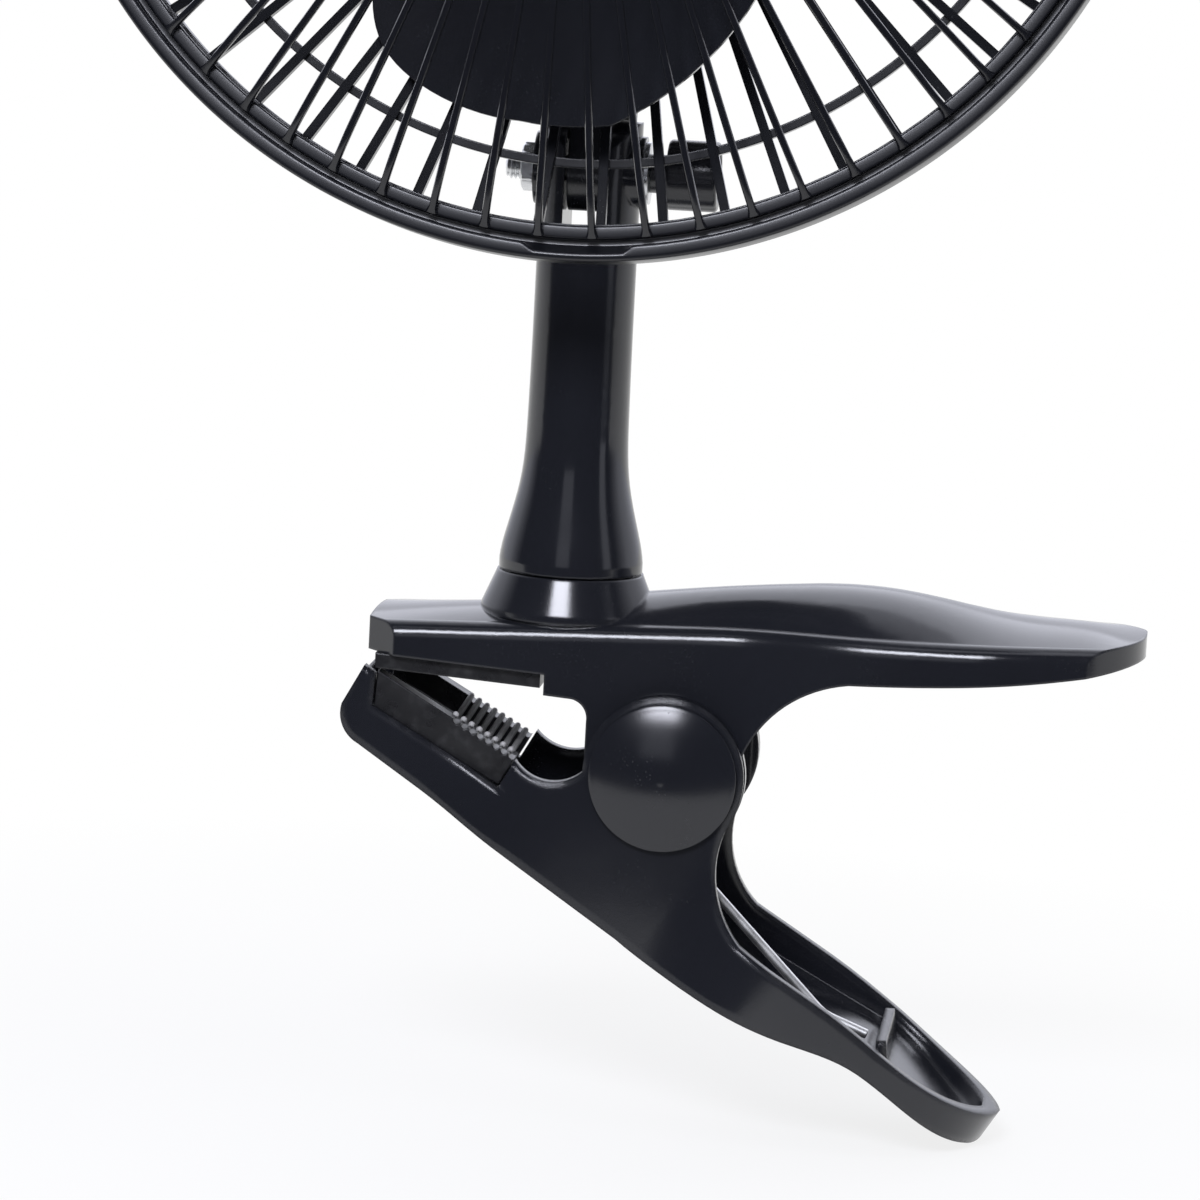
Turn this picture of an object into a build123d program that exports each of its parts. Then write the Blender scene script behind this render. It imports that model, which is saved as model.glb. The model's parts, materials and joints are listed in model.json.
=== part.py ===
from build123d import *
from math import acos, atan2, ceil, cos, hypot, pi, radians, sin, sqrt, tan
import os

# A small clip fan in millimetres. The origin is the middle of the upper jaw's grip face, X runs
# along the clip towards the handles, -Y is the side that the fan faces, and Z runs up the neck.

# ---------------------------------------------------------------- driving sizes: the clip's arms
wall = 2.3  # moulded wall of the two arms
seat_gap = 0.3  # air between pieces that pass each other
pivot_x = 34.2
pivot_z = -13.2
jaw_front_x = -15.0  # front end of the upper jaw
jaw_half_width = 14.0
jaw_solid_x = -5.0  # in front of this the upper jaw is solid
jaw_corner = 5.0  # corners cut off the front end, seen from above
jaw_step_x = 14.1  # end of the jaw, where the arm's sides step down
jaw_step_z = -1.7
grip_slope = 3.2  # the upper grip face falls by this angle towards the pivot
cheek_half_width = 14.2  # the upper arm's cheeks stand inside the lower arm
cheek_radius = 13.0  # round lower end of the cheeks
cheek_swell_x = 46.0  # behind the cheeks the arm widens to the handle
handle_half_width = 19.4
tip_x = 109.3  # end of the upper handle
shoulder_radius = 2.6  # rounding between the crowned top and the sides
upper_section_count = 16  # evenly spaced sections of the upper arm's skin
ear_half_width = 17.0  # outside of the lower arm at the pivot
ear_radius = 12.9  # round ears of the lower arm about the pivot
grip_half_width = 20.4  # the lower handle
arm_slope = 32.0  # the lower arm falls by this angle from jaw to handle
nose_x = -18.3  # front of the lower jaw
lower_tip_x = 90.6
lower_tip_z = -67.0
throat_width = 2.6  # rounding between the jaw's end and the cheek
throat_height = 3.4
throat_drop = 0.3  # the step ends this far below its start
cheek_lift = 18.0  # the round of the cheek ends at this angle above the pivot, behind it
hollow_round = (53.0, -0.6)  # the handle's lower edge: a hollow round, then a long easy curve
saddle = (63.0, 3.8)
handle_edge = ((81.0, 4.9), (98.4, 7.0))
tip_low_z = 9.2
jaw_margin = 0.4  # the plan stands this far outside the sides, so that only its ends cut
handle_margin = 1.0
swell_end_x = 50.0
tip_round_x = 92.0  # the handle's round end starts here
tip_shoulder = 3.6  # and passes this far inside the tip
tip_share = 0.6  # at this share of the half width

# ---------------------------------------------------------------- driving sizes: jaw pads
upper_pad_length = 26.7
upper_pad_thickness = 2.4
pad_half_width = 13.0
peg_radius = 2.0
peg_height = 3.6
peg_wall = 1.6
front_peg_x = -9.6  # sits in the solid front of the jaw
rear_peg_x = 3.5  # sits in a socket under the arm's top
peg_gap = 0.4  # room over the pegs
socket_top = 8.8
lower_pad_x = -12.8  # front top corner of the lower pad
lower_pad_z = 0.3
lower_pad_slope = 29.0
lower_pad_length = 26.0
lower_pad_height = 5.2
lower_pad_heel = 2.5  # the pad's foot starts this far behind its front top corner
valley_half_width = 9.6  # at the pad's top
valley_floor = 6.0  # half width of its floor
valley_depth = 3.0
ridge_start = 15.0
ridge_pitch = 1.5
ridge_count = 8
groove_radius = 0.7
groove_lift = 0.175  # the grooves' middles stand this far above the pad's top
plug_depth = 3.0  # the pad's plug fills the arm's mouth
plug_inset = 1.0

# ---------------------------------------------------------------- driving sizes: pin, caps and spring
pin_radius = 3.0
pin_fit = 0.06  # running fit of the pin in the upper arm, on the radius
pin_stand = 1.6  # the pin's ends stand out of the ears into the caps
boss_radius = 5.6  # hollow bosses on the inside of the cheeks carry the pin
boss_end_y = 7.7  # and leave room for the spring between them
cap_radius = 11.8
cap_rim = 1.1
cap_height = 3.6
wire = 1.6
coil_radius = 8.0  # middle of the wire
coil_turns = 5
coil_pitch = 2.4
foot_bend = (61.3, -51.9)  # the lower leg bends here and lies along the handle's floor
foot_end = (68.6, -54.7)
head_end = (62.0, 12.2)  # the upper leg ends here, under the handle's crown
leg_bend_radius = 3.0
pocket_half_width = 12.0  # two low ribs on the lower handle's floor, with a stop across them
pocket_rib = 1.3

# ---------------------------------------------------------------- driving sizes: neck and tilt joint
neck_x = 16.0
collar_top_z = 16.7
collar_top_radius = 11.8
collar_foot_radius = 14.2
collar_foot_z = 11.0
socket_radius = 9.8
socket_depth = 4.2
socket_floor = 4.0
spigot_radius = 5.0
turning_fit = 0.08  # running fit of the neck in its collar and of the bolt in the fork, on the radius
neck_foot_radius = 11.6
neck_foot_rim = 1.6  # upright rim of the foot
neck_radius = 8.05
neck_flare = 46.0  # the foot's flare ends this far up
neck_swell = ((6.2, 2.65), (14.5, 0.75), (24.0, 0.15))  # heights in the flare, and radius to spare there
neck_bore = 3.3
neck_core_floor = 20.0
bolt_z = 81.5
boss_ear_radius = 5.8  # flat round ears on both sides of the fork
boss_ear_half_width = 8.8
slot_half_width = 3.5
slot_depth = 10.0
tongue_radius = 6.6
tongue_gap = 0.3  # air on each side of the tongue
stem_clear_radius = 9.5  # the wide part of the stem keeps this far from the bolt
joint_gap = 0.1  # joint line between moulded shells, and under a tightened face
tilt_bolt_radius = 2.1
thread_end = 13.6  # left of the neck's middle
thread_chamfer = 0.5
nut_thickness = 2.2
nut_flats = 7.0
tilt_washer_radius = 5.0
tilt_washer_thickness = 0.8
knob_stem_radius = 3.1
knob_start = 12.4  # right of the neck's middle
knob_length = 8.2
knob_radius = 5.65
knob_socket = 6.0
flute_count = 12
flute_radius = 0.9
neck_screw_radius = 1.9
neck_screw_length = 17.0
screw_head_radius = 3.6
screw_head_height = 2.4
neck_washer_radius = 6.5
neck_washer_thickness = 1.2

# ---------------------------------------------------------------- driving sizes: the guard
head_tilt = 8.0  # the fan looks up by this angle at rest
head_rise = 73.4  # from the bolt up to the fan's axis
rim_ahead = 30.7  # from the bolt forward to the plane of the rim
rim_radius = 90.0
lip_width = 2.4
lip_front = 2.8
skirt_width = 2.0
skirt_back = -6.0
channel_width = 1.2
channel_front = 0.2
guard_ring_width = 2.0
guard_ring_front = 1.6
rim_back = -1.0  # joint line between the two halves of the guard
bend_radius = 80.0  # where the front ribs turn back to the rim
bend_front = 20.5
rib_bend = 2.5
front_rib_count = 64
front_rib_width = 1.25
front_rib_depth = 1.5
rib_start_angle = 270 + 360 / front_rib_count / 2
badge_ring_radius = 22.0
badge_ring_width = 2.0
badge_floor = 1.8
badge_radius = 19.6
badge_seat = 26.0
badge_thickness = 1.4
badge_crown = 1.0
badge_ring_front = 28.2
notch_width = 15.4
notch_depth = 1.3
rear_rib_count = 54
rear_rib_width = 1.5
rear_rib_depth = 1.8
rear_ring_inner = 84.0
rear_ring_back = -5.0
cone_outer = 86.0  # the rear ribs lie on a cone between these two stations
cone_outer_back = -3.4
cone_inner = 32.0
cone_inner_back = -28.1
hoop_radii = (50.0, 74.0)
hoop_width = 1.4
hoop_depth = 2.0
plate_radius = 33.2
plate_hole = 23.0
plate_front = -27.5
plate_thickness = 2.0

# ---------------------------------------------------------------- driving sizes: motor housing and switch
housing_radius = 33.5
housing_back = -82.0
housing_wall = 2.2
housing_round = 12.0
vent_count = 14
vent_width = 2.4
vent_front = -66.0
vent_length = 12.0
cover_radius = 31.5
cover_thickness = 2.2
cover_hub_radius = 9.0
cover_hub_height = 3.0
screw_ring = 28.3
screw_post_radius = 3.2
screw_post_length = 20.0
screw_radius = 1.5
screw_length = 18.0
screw_fit = 0.05
motor_bolt_grip = 7.0  # thread in the cover's bosses
pan_head_radius = 2.7
pan_head_height = 1.8
stem_half_width = 6.0
stem_back = -47.0
stem_front = -31.0
knob_drop = -14.0  # middle of the switch, below the fan's axis
switch_width = 15.0
switch_height = 13.0
switch_depth = 9.0
switch_shaft_radius = 2.0
switch_knob_radius = 7.5
switch_knob_length = 9.0
switch_bore_share = 0.6  # share of the switch's depth that its shaft enters
knob_flute_count = 18
pointer_share = 0.8
pointer_width = 1.6
pointer_height = 0.6
grommet_station = -60.0
grommet_inner_end = 29.2
grommet_radius = 5.6
grommet_neck = 4.2
grommet_bore = 2.9
grommet_flange = 1.6

# ---------------------------------------------------------------- driving sizes: motor and blade
core_front = -44.0
core_back = -58.0
core_half_width = 19.0
core_bottom = -15.0
core_corner = 3.0
limb_bottom = 17.5
limb_top = 22.5
window_bottom = 11.0
window_half_width = 10.5
core_bore = 9.25
air_gap = 0.35
rotor_overhang = 0.3
coil_build = 3.4
bobbin_wall = 0.9
bobbin_fit = 0.1
bobbin_half_width = 10.2
bobbin_flange = 0.9
shading_x = 13.6  # slot of the copper shading ring in each pole
shading_y = 7.5
shading_wire = 1.4
motor_bolt_x = 15.4
motor_bolt_y = -10.5
pillar_radius = 3.4
bracket_thickness = 1.5
bracket_standoff = 6.5
bracket_hub_radius = 7.5
bearing_radius = 5.0
bearing_length = 7.0
bearing_fit = 0.04
thrust_thickness = 0.8
thrust_radius = 4.5
shaft_radius = 2.5
shaft_back = -68.5
shaft_front = 5.0
shaft_clearance = 0.9
blade_count = 3
blade_tip_radius = 69.0
blade_thickness = 1.5
blade_station = 1.5
hub_radius = 17.0
hub_front = 13.0
hub_back = -13.0
hub_wall = 1.8
hub_crown = 3.6
hub_boss_radius = 5.5

# ---------------------------------------------------------------- shared planes and helpers
reach = 60.0  # how far cutting shapes stand past the piece they cut
forward = Vector(0, -cos(radians(head_tilt)), sin(radians(head_tilt)))
upward = Vector(0, sin(radians(head_tilt)), cos(radians(head_tilt)))
rim_centre = Vector(neck_x, 0, bolt_z) + forward * rim_ahead + upward * head_rise
fan_axis = Axis(rim_centre, forward)
# seen from the front: x right, y up, z forward
face_plane = Plane(origin=rim_centre, x_dir=(1, 0, 0), z_dir=forward)
# half section of everything turned: x from the fan's axis, y forward
turned_plane = Plane(origin=rim_centre, x_dir=(1, 0, 0), z_dir=Vector(1, 0, 0).cross(forward))
# seen from the side: x forward, y up
side_plane = Plane(origin=rim_centre, x_dir=forward, z_dir=forward.cross(upward))
# the lower arm square to its slope: x along the arm from the pivot
arm_along = Vector(cos(radians(arm_slope)), 0, -sin(radians(arm_slope)))
arm_out = Vector(sin(radians(arm_slope)), 0, cos(radians(arm_slope)))
arm_plane = Plane(origin=(pivot_x, 0, pivot_z), x_dir=arm_along, z_dir=arm_out)
# the lower pad: from its front top corner along its ridges
pad_along = Vector(cos(radians(lower_pad_slope)), 0, -sin(radians(lower_pad_slope)))
pad_out = Vector(sin(radians(lower_pad_slope)), 0, cos(radians(lower_pad_slope)))
pad_corner = Vector(lower_pad_x, 0, lower_pad_z)


def grip_z(x):
    """Height of the upper jaw's grip face at a place along the clip."""
    return -x * tan(radians(grip_slope))


def pad_point(along, out):
    """A point of the lower pad's side view, from its front top corner."""
    point = pad_corner + pad_along * along + pad_out * out
    return (point.X, point.Z)


def turned(points):
    """A closed face in the half section of the fan's turned pieces."""
    with BuildSketch(turned_plane) as profile:
        with BuildLine():
            Polyline(*points, close=True)
        make_face()
    return profile.sketch


def disc(plane, x, y, radius, hole=0.0):
    """A round face on a plane, with a hole if one is given."""
    with BuildSketch(plane) as face:
        with Locations((x, y)):
            Circle(radius)
            if hole > 0:
                Circle(hole, mode=Mode.SUBTRACT)
    return face.sketch


def dome_drop(radius, height, share):
    """How far a round dome falls from its crown at a share of its radius."""
    ball = (radius * radius + height * height) / (2 * height)
    return ball - sqrt(ball * ball - (radius * share) ** 2)


# ---------------------------------------------------------------- upper arm of the clip
# x, half width, height of the shoulders, height of the crown: jaw, hump, thumb saddle and tip
upper_stations = (
    (jaw_front_x - seat_gap, jaw_half_width, 8.4, 9.0),
    (8.0, jaw_half_width + 0.2, 9.4, 11.2),
    (pivot_x, cheek_half_width, 10.5, 14.8),
    (46.0, cheek_half_width + 0.1, 10.9, 16.2),
    (60.0, handle_half_width - 1.6, 11.2, 17.3),
    (71.0, handle_half_width - 0.2, 11.3, 16.8),
    (87.0, handle_half_width, 11.6, 14.1),
    (tip_x + seat_gap, handle_half_width - 3.4, 12.0, 12.8),
)


def upper_station(x):
    """The upper arm's sizes at a place along it: cubic curves through the stations above."""
    index = 0
    while index < len(upper_stations) - 2 and x > upper_stations[index + 1][0]:
        index += 1
    start = upper_stations[index]
    end = upper_stations[index + 1]
    before = upper_stations[max(index - 1, 0)]
    after = upper_stations[min(index + 2, len(upper_stations) - 1)]
    span = end[0] - start[0]
    share = (x - start[0]) / span
    sizes = [x]
    for size in (1, 2, 3):
        rise = end[size] - start[size]
        leave = (end[size] - before[size]) / (end[0] - before[0]) * span
        arrive = (after[size] - start[size]) / (after[0] - start[0]) * span
        bend = 3 * rise - 2 * leave - arrive
        twist = leave + arrive - 2 * rise
        sizes.append(start[size] + share * (leave + share * (bend + share * twist)))
    return sizes


upper_start_x = upper_stations[0][0]
upper_pitch = (upper_stations[-1][0] - upper_start_x) / (upper_section_count - 1)
upper_sections = [upper_station(upper_start_x + step * upper_pitch) for step in range(upper_section_count)]


def crown_section(x, half_width, shoulder_z, crown_z, inset):
    """A section of the upper arm: upright sides, rounded shoulders and a crowned top."""
    side = half_width - inset
    top = shoulder_z - inset
    low = top - shoulder_radius
    flat = side - shoulder_radius
    turn = shoulder_radius * (1 - sqrt(0.5))
    with BuildSketch(Plane.YZ.offset(x)) as section:
        with BuildLine():
            Polyline((-side, low), (-side, -reach), (side, -reach), (side, low))
            ThreePointArc((side, low), (side - turn, top - turn), (flat, top))
            ThreePointArc((flat, top), (0, crown_z - inset), (-flat, top))
            ThreePointArc((-flat, top), (turn - side, top - turn), (-side, low))
        make_face()
    return section.sketch


def upper_side():
    """Side view of the upper arm: jaw, round cheek about the pivot, and the handle's lower edge."""
    jaw_front = (jaw_front_x, grip_z(jaw_front_x) + upper_pad_thickness)
    jaw_end = (jaw_step_x, grip_z(jaw_step_x) + upper_pad_thickness)
    cheek_left = pivot_x - cheek_radius
    turn = 1 - sqrt(0.5)
    throat_top = jaw_step_z - throat_drop
    throat_start = (cheek_left - throat_width, throat_top)
    throat_middle = (cheek_left - throat_width * turn, throat_top - throat_height * turn)
    throat_end = (cheek_left, throat_top - throat_height)
    lift = radians(cheek_lift)
    cheek_end = (pivot_x + cheek_radius * cos(lift), pivot_z + cheek_radius * sin(lift))
    tip_low = (tip_x, tip_low_z)
    with BuildSketch(Plane.XZ) as outline:
        with BuildLine():
            Polyline(jaw_front, jaw_end, (jaw_step_x, jaw_step_z), throat_start)
            ThreePointArc(throat_start, throat_middle, throat_end)
            Line(throat_end, (cheek_left, pivot_z))
            ThreePointArc((cheek_left, pivot_z), (pivot_x, pivot_z - cheek_radius), cheek_end)
            ThreePointArc(cheek_end, hollow_round, saddle)
            Spline(saddle, *handle_edge, tip_low)
            Polyline(tip_low, (tip_x, reach), (jaw_front_x, reach), jaw_front)
        make_face()
    return outline.sketch


def upper_plan(front, inset):
    """The upper arm from above: cut corners at the jaw and a round end to the handle."""
    jaw = jaw_half_width + jaw_margin - inset
    side = handle_half_width + handle_margin - inset
    tip = tip_x - inset
    corner = (front, jaw - jaw_corner)
    cut = (front + jaw_corner, jaw)
    swell = (swell_end_x, side)
    round_start = (tip_round_x, side)
    round_middle = (tip - tip_shoulder, side * tip_share)
    with BuildSketch(Plane.XY) as plan:
        with BuildLine():
            Polyline(corner, cut, (cheek_swell_x, jaw), swell, round_start)
            ThreePointArc(round_start, round_middle, (tip, 0))
            Line((tip, 0), (front, 0))
            Line((front, 0), corner)
        make_face()
        mirror(about=Plane.XZ)
    return plan.sketch


with BuildPart() as upper_hollow:
    loft([crown_section(*sizes, wall) for sizes in upper_sections], ruled=True)
    extrude(upper_plan(jaw_solid_x, wall), amount=reach, both=True, mode=Mode.INTERSECT)

socket_floor_z = collar_top_z - socket_depth
collar_base_z = socket_floor_z - socket_floor
with BuildPart() as upper_arm:
    loft([crown_section(*sizes, 0.0) for sizes in upper_sections])
    extrude(upper_side(), amount=reach, both=True, mode=Mode.INTERSECT)
    extrude(upper_plan(jaw_front_x, 0.0), amount=reach, both=True, mode=Mode.INTERSECT)
    add(upper_hollow.part, mode=Mode.SUBTRACT)
    # raised collar, with the socket and the hole that the neck turns in
    with BuildSketch(Plane.XZ):
        with BuildLine():
            Polyline(
                (neck_x, collar_base_z),
                (neck_x + collar_foot_radius - wall, collar_base_z),
                (neck_x + collar_foot_radius, collar_foot_z - wall / 2),
                (neck_x + collar_foot_radius, collar_foot_z),
                (neck_x + collar_top_radius, collar_top_z),
                (neck_x, collar_top_z),
                close=True,
            )
        make_face()
    revolve(axis=Axis((neck_x, 0, 0), (0, 0, 1)))
    collar_plane = Plane.XY.offset(collar_top_z)
    neck_socket = disc(collar_plane, neck_x, 0, socket_radius + turning_fit)
    extrude(neck_socket, amount=-socket_depth, mode=Mode.SUBTRACT)
    spigot_hole = disc(collar_plane, neck_x, 0, spigot_radius + turning_fit)
    extrude(spigot_hole, amount=-reach, mode=Mode.SUBTRACT)
    # hollow bosses for the pin, and the pin's hole through the cheeks
    for side in (-1, 1):
        boss_plane = Plane.XZ.offset(side * boss_end_y)
        boss_length = cheek_half_width - wall / 2 - boss_end_y
        extrude(disc(boss_plane, pivot_x, pivot_z, boss_radius), amount=side * boss_length)
    pin_hole = disc(Plane.XZ, pivot_x, pivot_z, pin_radius + pin_fit)
    extrude(pin_hole, amount=ear_half_width, both=True, mode=Mode.SUBTRACT)
    # a blind hole and a socket for the pad's pegs
    front_peg_z = grip_z(front_peg_x) + upper_pad_thickness
    peg_hole = disc(Plane.XY.offset(front_peg_z + peg_height + peg_gap), front_peg_x, 0, peg_radius)
    extrude(peg_hole, amount=-reach, mode=Mode.SUBTRACT)
    rear_peg_z = grip_z(rear_peg_x) + upper_pad_thickness
    socket_plane = Plane.XY.offset(rear_peg_z + seat_gap)
    socket_ring = disc(socket_plane, rear_peg_x, 0, peg_radius + peg_wall, peg_radius)
    extrude(socket_ring, amount=socket_top - rear_peg_z - seat_gap)

# ---------------------------------------------------------------- upper jaw pad
with BuildPart() as upper_jaw_pad:
    pad_front = -upper_pad_length / 2
    pad_back = upper_pad_length / 2
    with BuildSketch(Plane.XZ):
        with BuildLine():
            Polyline(
                (pad_front, grip_z(pad_front)),
                (pad_back, grip_z(pad_back)),
                (pad_back, grip_z(pad_back) + upper_pad_thickness),
                (pad_front, grip_z(pad_front) + upper_pad_thickness),
                close=True,
            )
        make_face()
    extrude(amount=pad_half_width, both=True)
    for x in (front_peg_x, rear_peg_x):
        peg = disc(Plane.XY.offset(grip_z(x) + upper_pad_thickness / 2), x, 0, peg_radius)
        extrude(peg, amount=upper_pad_thickness / 2 + peg_height)

# ---------------------------------------------------------------- lower arm of the clip
# underside of the lower arm from the jaw to the finger bulge at the end of the handle
floor_stations = (
    (28.0, -39.9),
    (43.3, -49.1),
    (55.0, -53.8),
    (66.0, -57.2),
    (72.0, -61.0),
    (78.0, -66.0),
    (85.5, -71.0),
)
# upper edge of the handle from its tip to the bite under the ears
rim_stations = ((84.6, -64.0), (78.8, -60.4), (73.6, -56.6), (63.1, -49.0), (53.6, -43.1))
nose_top = (-14.9, 1.2)
nose_high_z = -5.2
nose_round = (0.3, -8.9)  # behind the front, and its height
nose_foot = (-15.4, -11.6)
pad_lip = 0.4  # the nose ends this far below the pad's front top corner
seat_rise = 0.2  # the seat's rear edge stands this far above the pad's top
web_round = (16.0, -15.2)  # the web between the seat and the ear
bite_round = (43.4, -28.0)
bite_start = (48.0, -39.4)
tip_round = (89.0, -71.2)
ear_drop = 32.0  # the round of the ear ends at this angle below the pivot, behind it
hollow_front_z = -7.6
hollow_end = 1.0  # the hollow's floor ends this far behind the last station
plan_front = 6.0  # the plan starts this far in front of the nose
plan_jaw_end = -31.0  # stations of the plan along the arm, from the pivot
plan_ear_start = -14.5
plan_ear_end = 13.0
plan_handle_start = 34.0
plan_round = 24.0  # length of the handle's round end
plan_shoulder = 6.2
plan_share = 0.66


def floor_line(lift):
    """The underside of the lower arm, raised square to the arm by lift."""
    return [(x + arm_out.X * lift, z + arm_out.Z * lift) for x, z in floor_stations]


def lower_side():
    """Side view of the lower arm: nose, seat of the pad, ear about the pivot, bite and handle."""
    ear_left = (pivot_x - ear_radius, pivot_z)
    ear_top = (pivot_x, pivot_z + ear_radius)
    drop = radians(ear_drop)
    ear_right = (pivot_x + ear_radius * cos(drop), pivot_z - ear_radius * sin(drop))
    seat_front = pad_point(lower_pad_heel - seat_gap, -lower_pad_height)
    seat_back = pad_point(lower_pad_length + seat_gap, -lower_pad_height)
    seat_peak = pad_point(lower_pad_length + seat_gap, seat_rise)
    nose_lip = (lower_pad_x - seat_gap, lower_pad_z - pad_lip)
    nose_high = (nose_x, nose_high_z)
    nose_middle = (nose_x + nose_round[0], nose_round[1])
    floor = floor_line(0.0)
    lower_tip = (lower_tip_x, lower_tip_z)
    with BuildSketch(Plane.XZ) as outline:
        with BuildLine():
            Line(nose_top, nose_high)
            ThreePointArc(nose_high, nose_middle, nose_foot)
            Line(nose_foot, floor[0])
            Spline(*floor)
            ThreePointArc(floor[-1], tip_round, lower_tip)
            Spline(lower_tip, *rim_stations, bite_start)
            ThreePointArc(bite_start, bite_round, ear_right)
            ThreePointArc(ear_right, ear_top, ear_left)
            ThreePointArc(ear_left, web_round, seat_peak)
            Polyline(seat_peak, seat_back, seat_front, nose_lip, nose_top)
        make_face()
    return outline.sketch


def lower_hollow_side():
    """Side view of the lower arm's hollow: its floor follows the underside, its top is open."""
    floor = floor_line(wall)
    start_x = nose_x + wall
    end_x = floor[-1][0] + hollow_end
    with BuildSketch(Plane.XZ) as outline:
        with BuildLine():
            Polyline((end_x, lower_tip_z), (end_x, reach), (start_x, reach))
            Polyline((start_x, reach), (start_x, hollow_front_z), floor[0])
            Spline(*floor)
            Line(floor[-1], (end_x, lower_tip_z))
        make_face()
    return outline.sketch


def lower_plan(inset):
    """The lower arm square to its slope: narrow jaw, flat ears, wide handle with a round end."""
    front = (nose_x - pivot_x) / arm_along.X - plan_front + inset
    tip = (lower_tip_x - pivot_x) * arm_along.X + (lower_tip_z - pivot_z) * arm_along.Z - inset
    jaw = jaw_half_width - inset
    ear = ear_half_width - inset
    side = grip_half_width - inset
    jaw_end = (plan_jaw_end, jaw)
    ear_start = (plan_ear_start, ear)
    ear_end = (plan_ear_end, ear)
    handle_start = (plan_handle_start, side)
    round_start = (tip - plan_round, side)
    with BuildSketch(arm_plane) as plan:
        with BuildLine():
            Polyline((tip, 0), (front, 0), (front, jaw), jaw_end)
            Spline(jaw_end, ear_start, tangents=[(1, 0), (1, 0)])
            Line(ear_start, ear_end)
            Spline(ear_end, handle_start, tangents=[(1, 0), (1, 0)])
            Line(handle_start, round_start)
            ThreePointArc(round_start, (tip - plan_shoulder, side * plan_share), (tip, 0))
        make_face()
        mirror(about=Plane.XZ)
    return plan.sketch


with BuildPart() as lower_hollow:
    extrude(lower_hollow_side(), amount=reach, both=True)
    extrude(lower_plan(wall), amount=2 * reach, both=True, mode=Mode.INTERSECT)

# side views of the pocket's ribs and of the stop across them
rib_outline = ((49.0, -50.6), (50.7, -45.5), (70.5, -55.9), (73.2, -60.4), (66.0, -56.2))
stop_outline = ((70.0, -58.6), (70.5, -54.2), (72.0, -54.2), (72.6, -60.2))
with BuildPart() as lower_arm:
    extrude(lower_side(), amount=reach, both=True)
    extrude(lower_plan(0.0), amount=2 * reach, both=True, mode=Mode.INTERSECT)
    add(lower_hollow.part, mode=Mode.SUBTRACT)
    ear_hole = disc(Plane.XZ, pivot_x, pivot_z, pin_radius)
    extrude(ear_hole, amount=reach, both=True, mode=Mode.SUBTRACT)
    # two low ribs on the handle's floor and a stop across them, where the spring's foot rests
    for side in (-1, 1):
        with BuildSketch(Plane.XZ.offset(side * pocket_half_width)):
            with BuildLine():
                Polyline(*rib_outline, close=True)
            make_face()
        extrude(amount=pocket_rib / 2, both=True)
    with BuildSketch(Plane.XZ):
        with BuildLine():
            Polyline(*stop_outline, close=True)
        make_face()
    extrude(amount=pocket_half_width + pocket_rib / 2, both=True)

# ---------------------------------------------------------------- lower jaw pad
with BuildPart() as lower_jaw_pad:
    with BuildSketch(Plane.XZ):
        with BuildLine():
            Polyline(
                pad_point(0, 0),
                pad_point(lower_pad_length, 0),
                pad_point(lower_pad_length, -lower_pad_height),
                pad_point(lower_pad_heel, -lower_pad_height),
                close=True,
            )
        make_face()
    extrude(amount=pad_half_width, both=True)
    # a valley along the pad takes round rails
    valley_top = 2 * valley_half_width - valley_floor
    with BuildSketch(Plane(origin=pad_corner, x_dir=(0, 1, 0), z_dir=pad_along)):
        with BuildLine():
            Polyline(
                (-valley_floor, -valley_depth),
                (-valley_top, valley_depth),
                (valley_top, valley_depth),
                (valley_floor, -valley_depth),
                close=True,
            )
        make_face()
    extrude(amount=2 * lower_pad_length, both=True, mode=Mode.SUBTRACT)
    # round grooves leave a row of ridges on both flanks
    with BuildSketch(Plane.XZ):
        for ridge in range(ridge_count):
            with Locations(pad_point(ridge_start + ridge * ridge_pitch, groove_lift)):
                Circle(groove_radius)
    extrude(amount=reach, both=True, mode=Mode.SUBTRACT)
    # the plug under the pad sits in the arm's mouth
    plug_half_width = jaw_half_width - wall - seat_gap
    with BuildSketch(Plane.XZ):
        with BuildLine():
            Polyline(
                pad_point(lower_pad_heel + plug_inset, -lower_pad_height),
                pad_point(lower_pad_length - plug_inset, -lower_pad_height),
                pad_point(lower_pad_length - plug_inset, -lower_pad_height - plug_depth),
                pad_point(lower_pad_heel + 2 * plug_inset, -lower_pad_height - plug_depth),
                close=True,
            )
        make_face()
    extrude(amount=plug_half_width, both=True)

# ---------------------------------------------------------------- pivot pin and its two domed caps
with BuildPart() as pivot_pin:
    extrude(disc(Plane.XZ, pivot_x, pivot_z, pin_radius), amount=ear_half_width + pin_stand, both=True)

with BuildPart() as pivot_caps:
    for side in (-1, 1):
        with BuildSketch(Plane(origin=(pivot_x, 0, pivot_z), x_dir=(1, 0, 0), z_dir=(0, 0, 1))):
            with BuildLine():
                rim_y = side * ear_half_width
                pin_end_y = rim_y + side * pin_stand
                rim_top = (cap_radius, rim_y + side * cap_rim)
                crown = (0, rim_y + side * cap_height)
                cap_drop = dome_drop(cap_radius, cap_height - cap_rim, 0.5)
                shoulder = (cap_radius / 2, rim_y + side * (cap_height - cap_drop))
                Polyline(crown, (0, pin_end_y), (pin_radius, pin_end_y), (pin_radius, rim_y))
                Polyline((pin_radius, rim_y), (cap_radius, rim_y), rim_top)
                ThreePointArc(rim_top, shoulder, crown)
            make_face()
        revolve(axis=Axis((pivot_x, 0, pivot_z), (0, 1, 0)))

# ---------------------------------------------------------------- clip spring
# The wire runs from its foot in the lower handle to the coil, round the pin and up to the crown.
def touch_angle(end, turn):
    """Angle about the pin where a straight leg to end touches the coil."""
    across = end[0] - pivot_x
    up = end[1] - pivot_z
    return atan2(up, across) + turn * acos(coil_radius / hypot(across, up))


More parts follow.
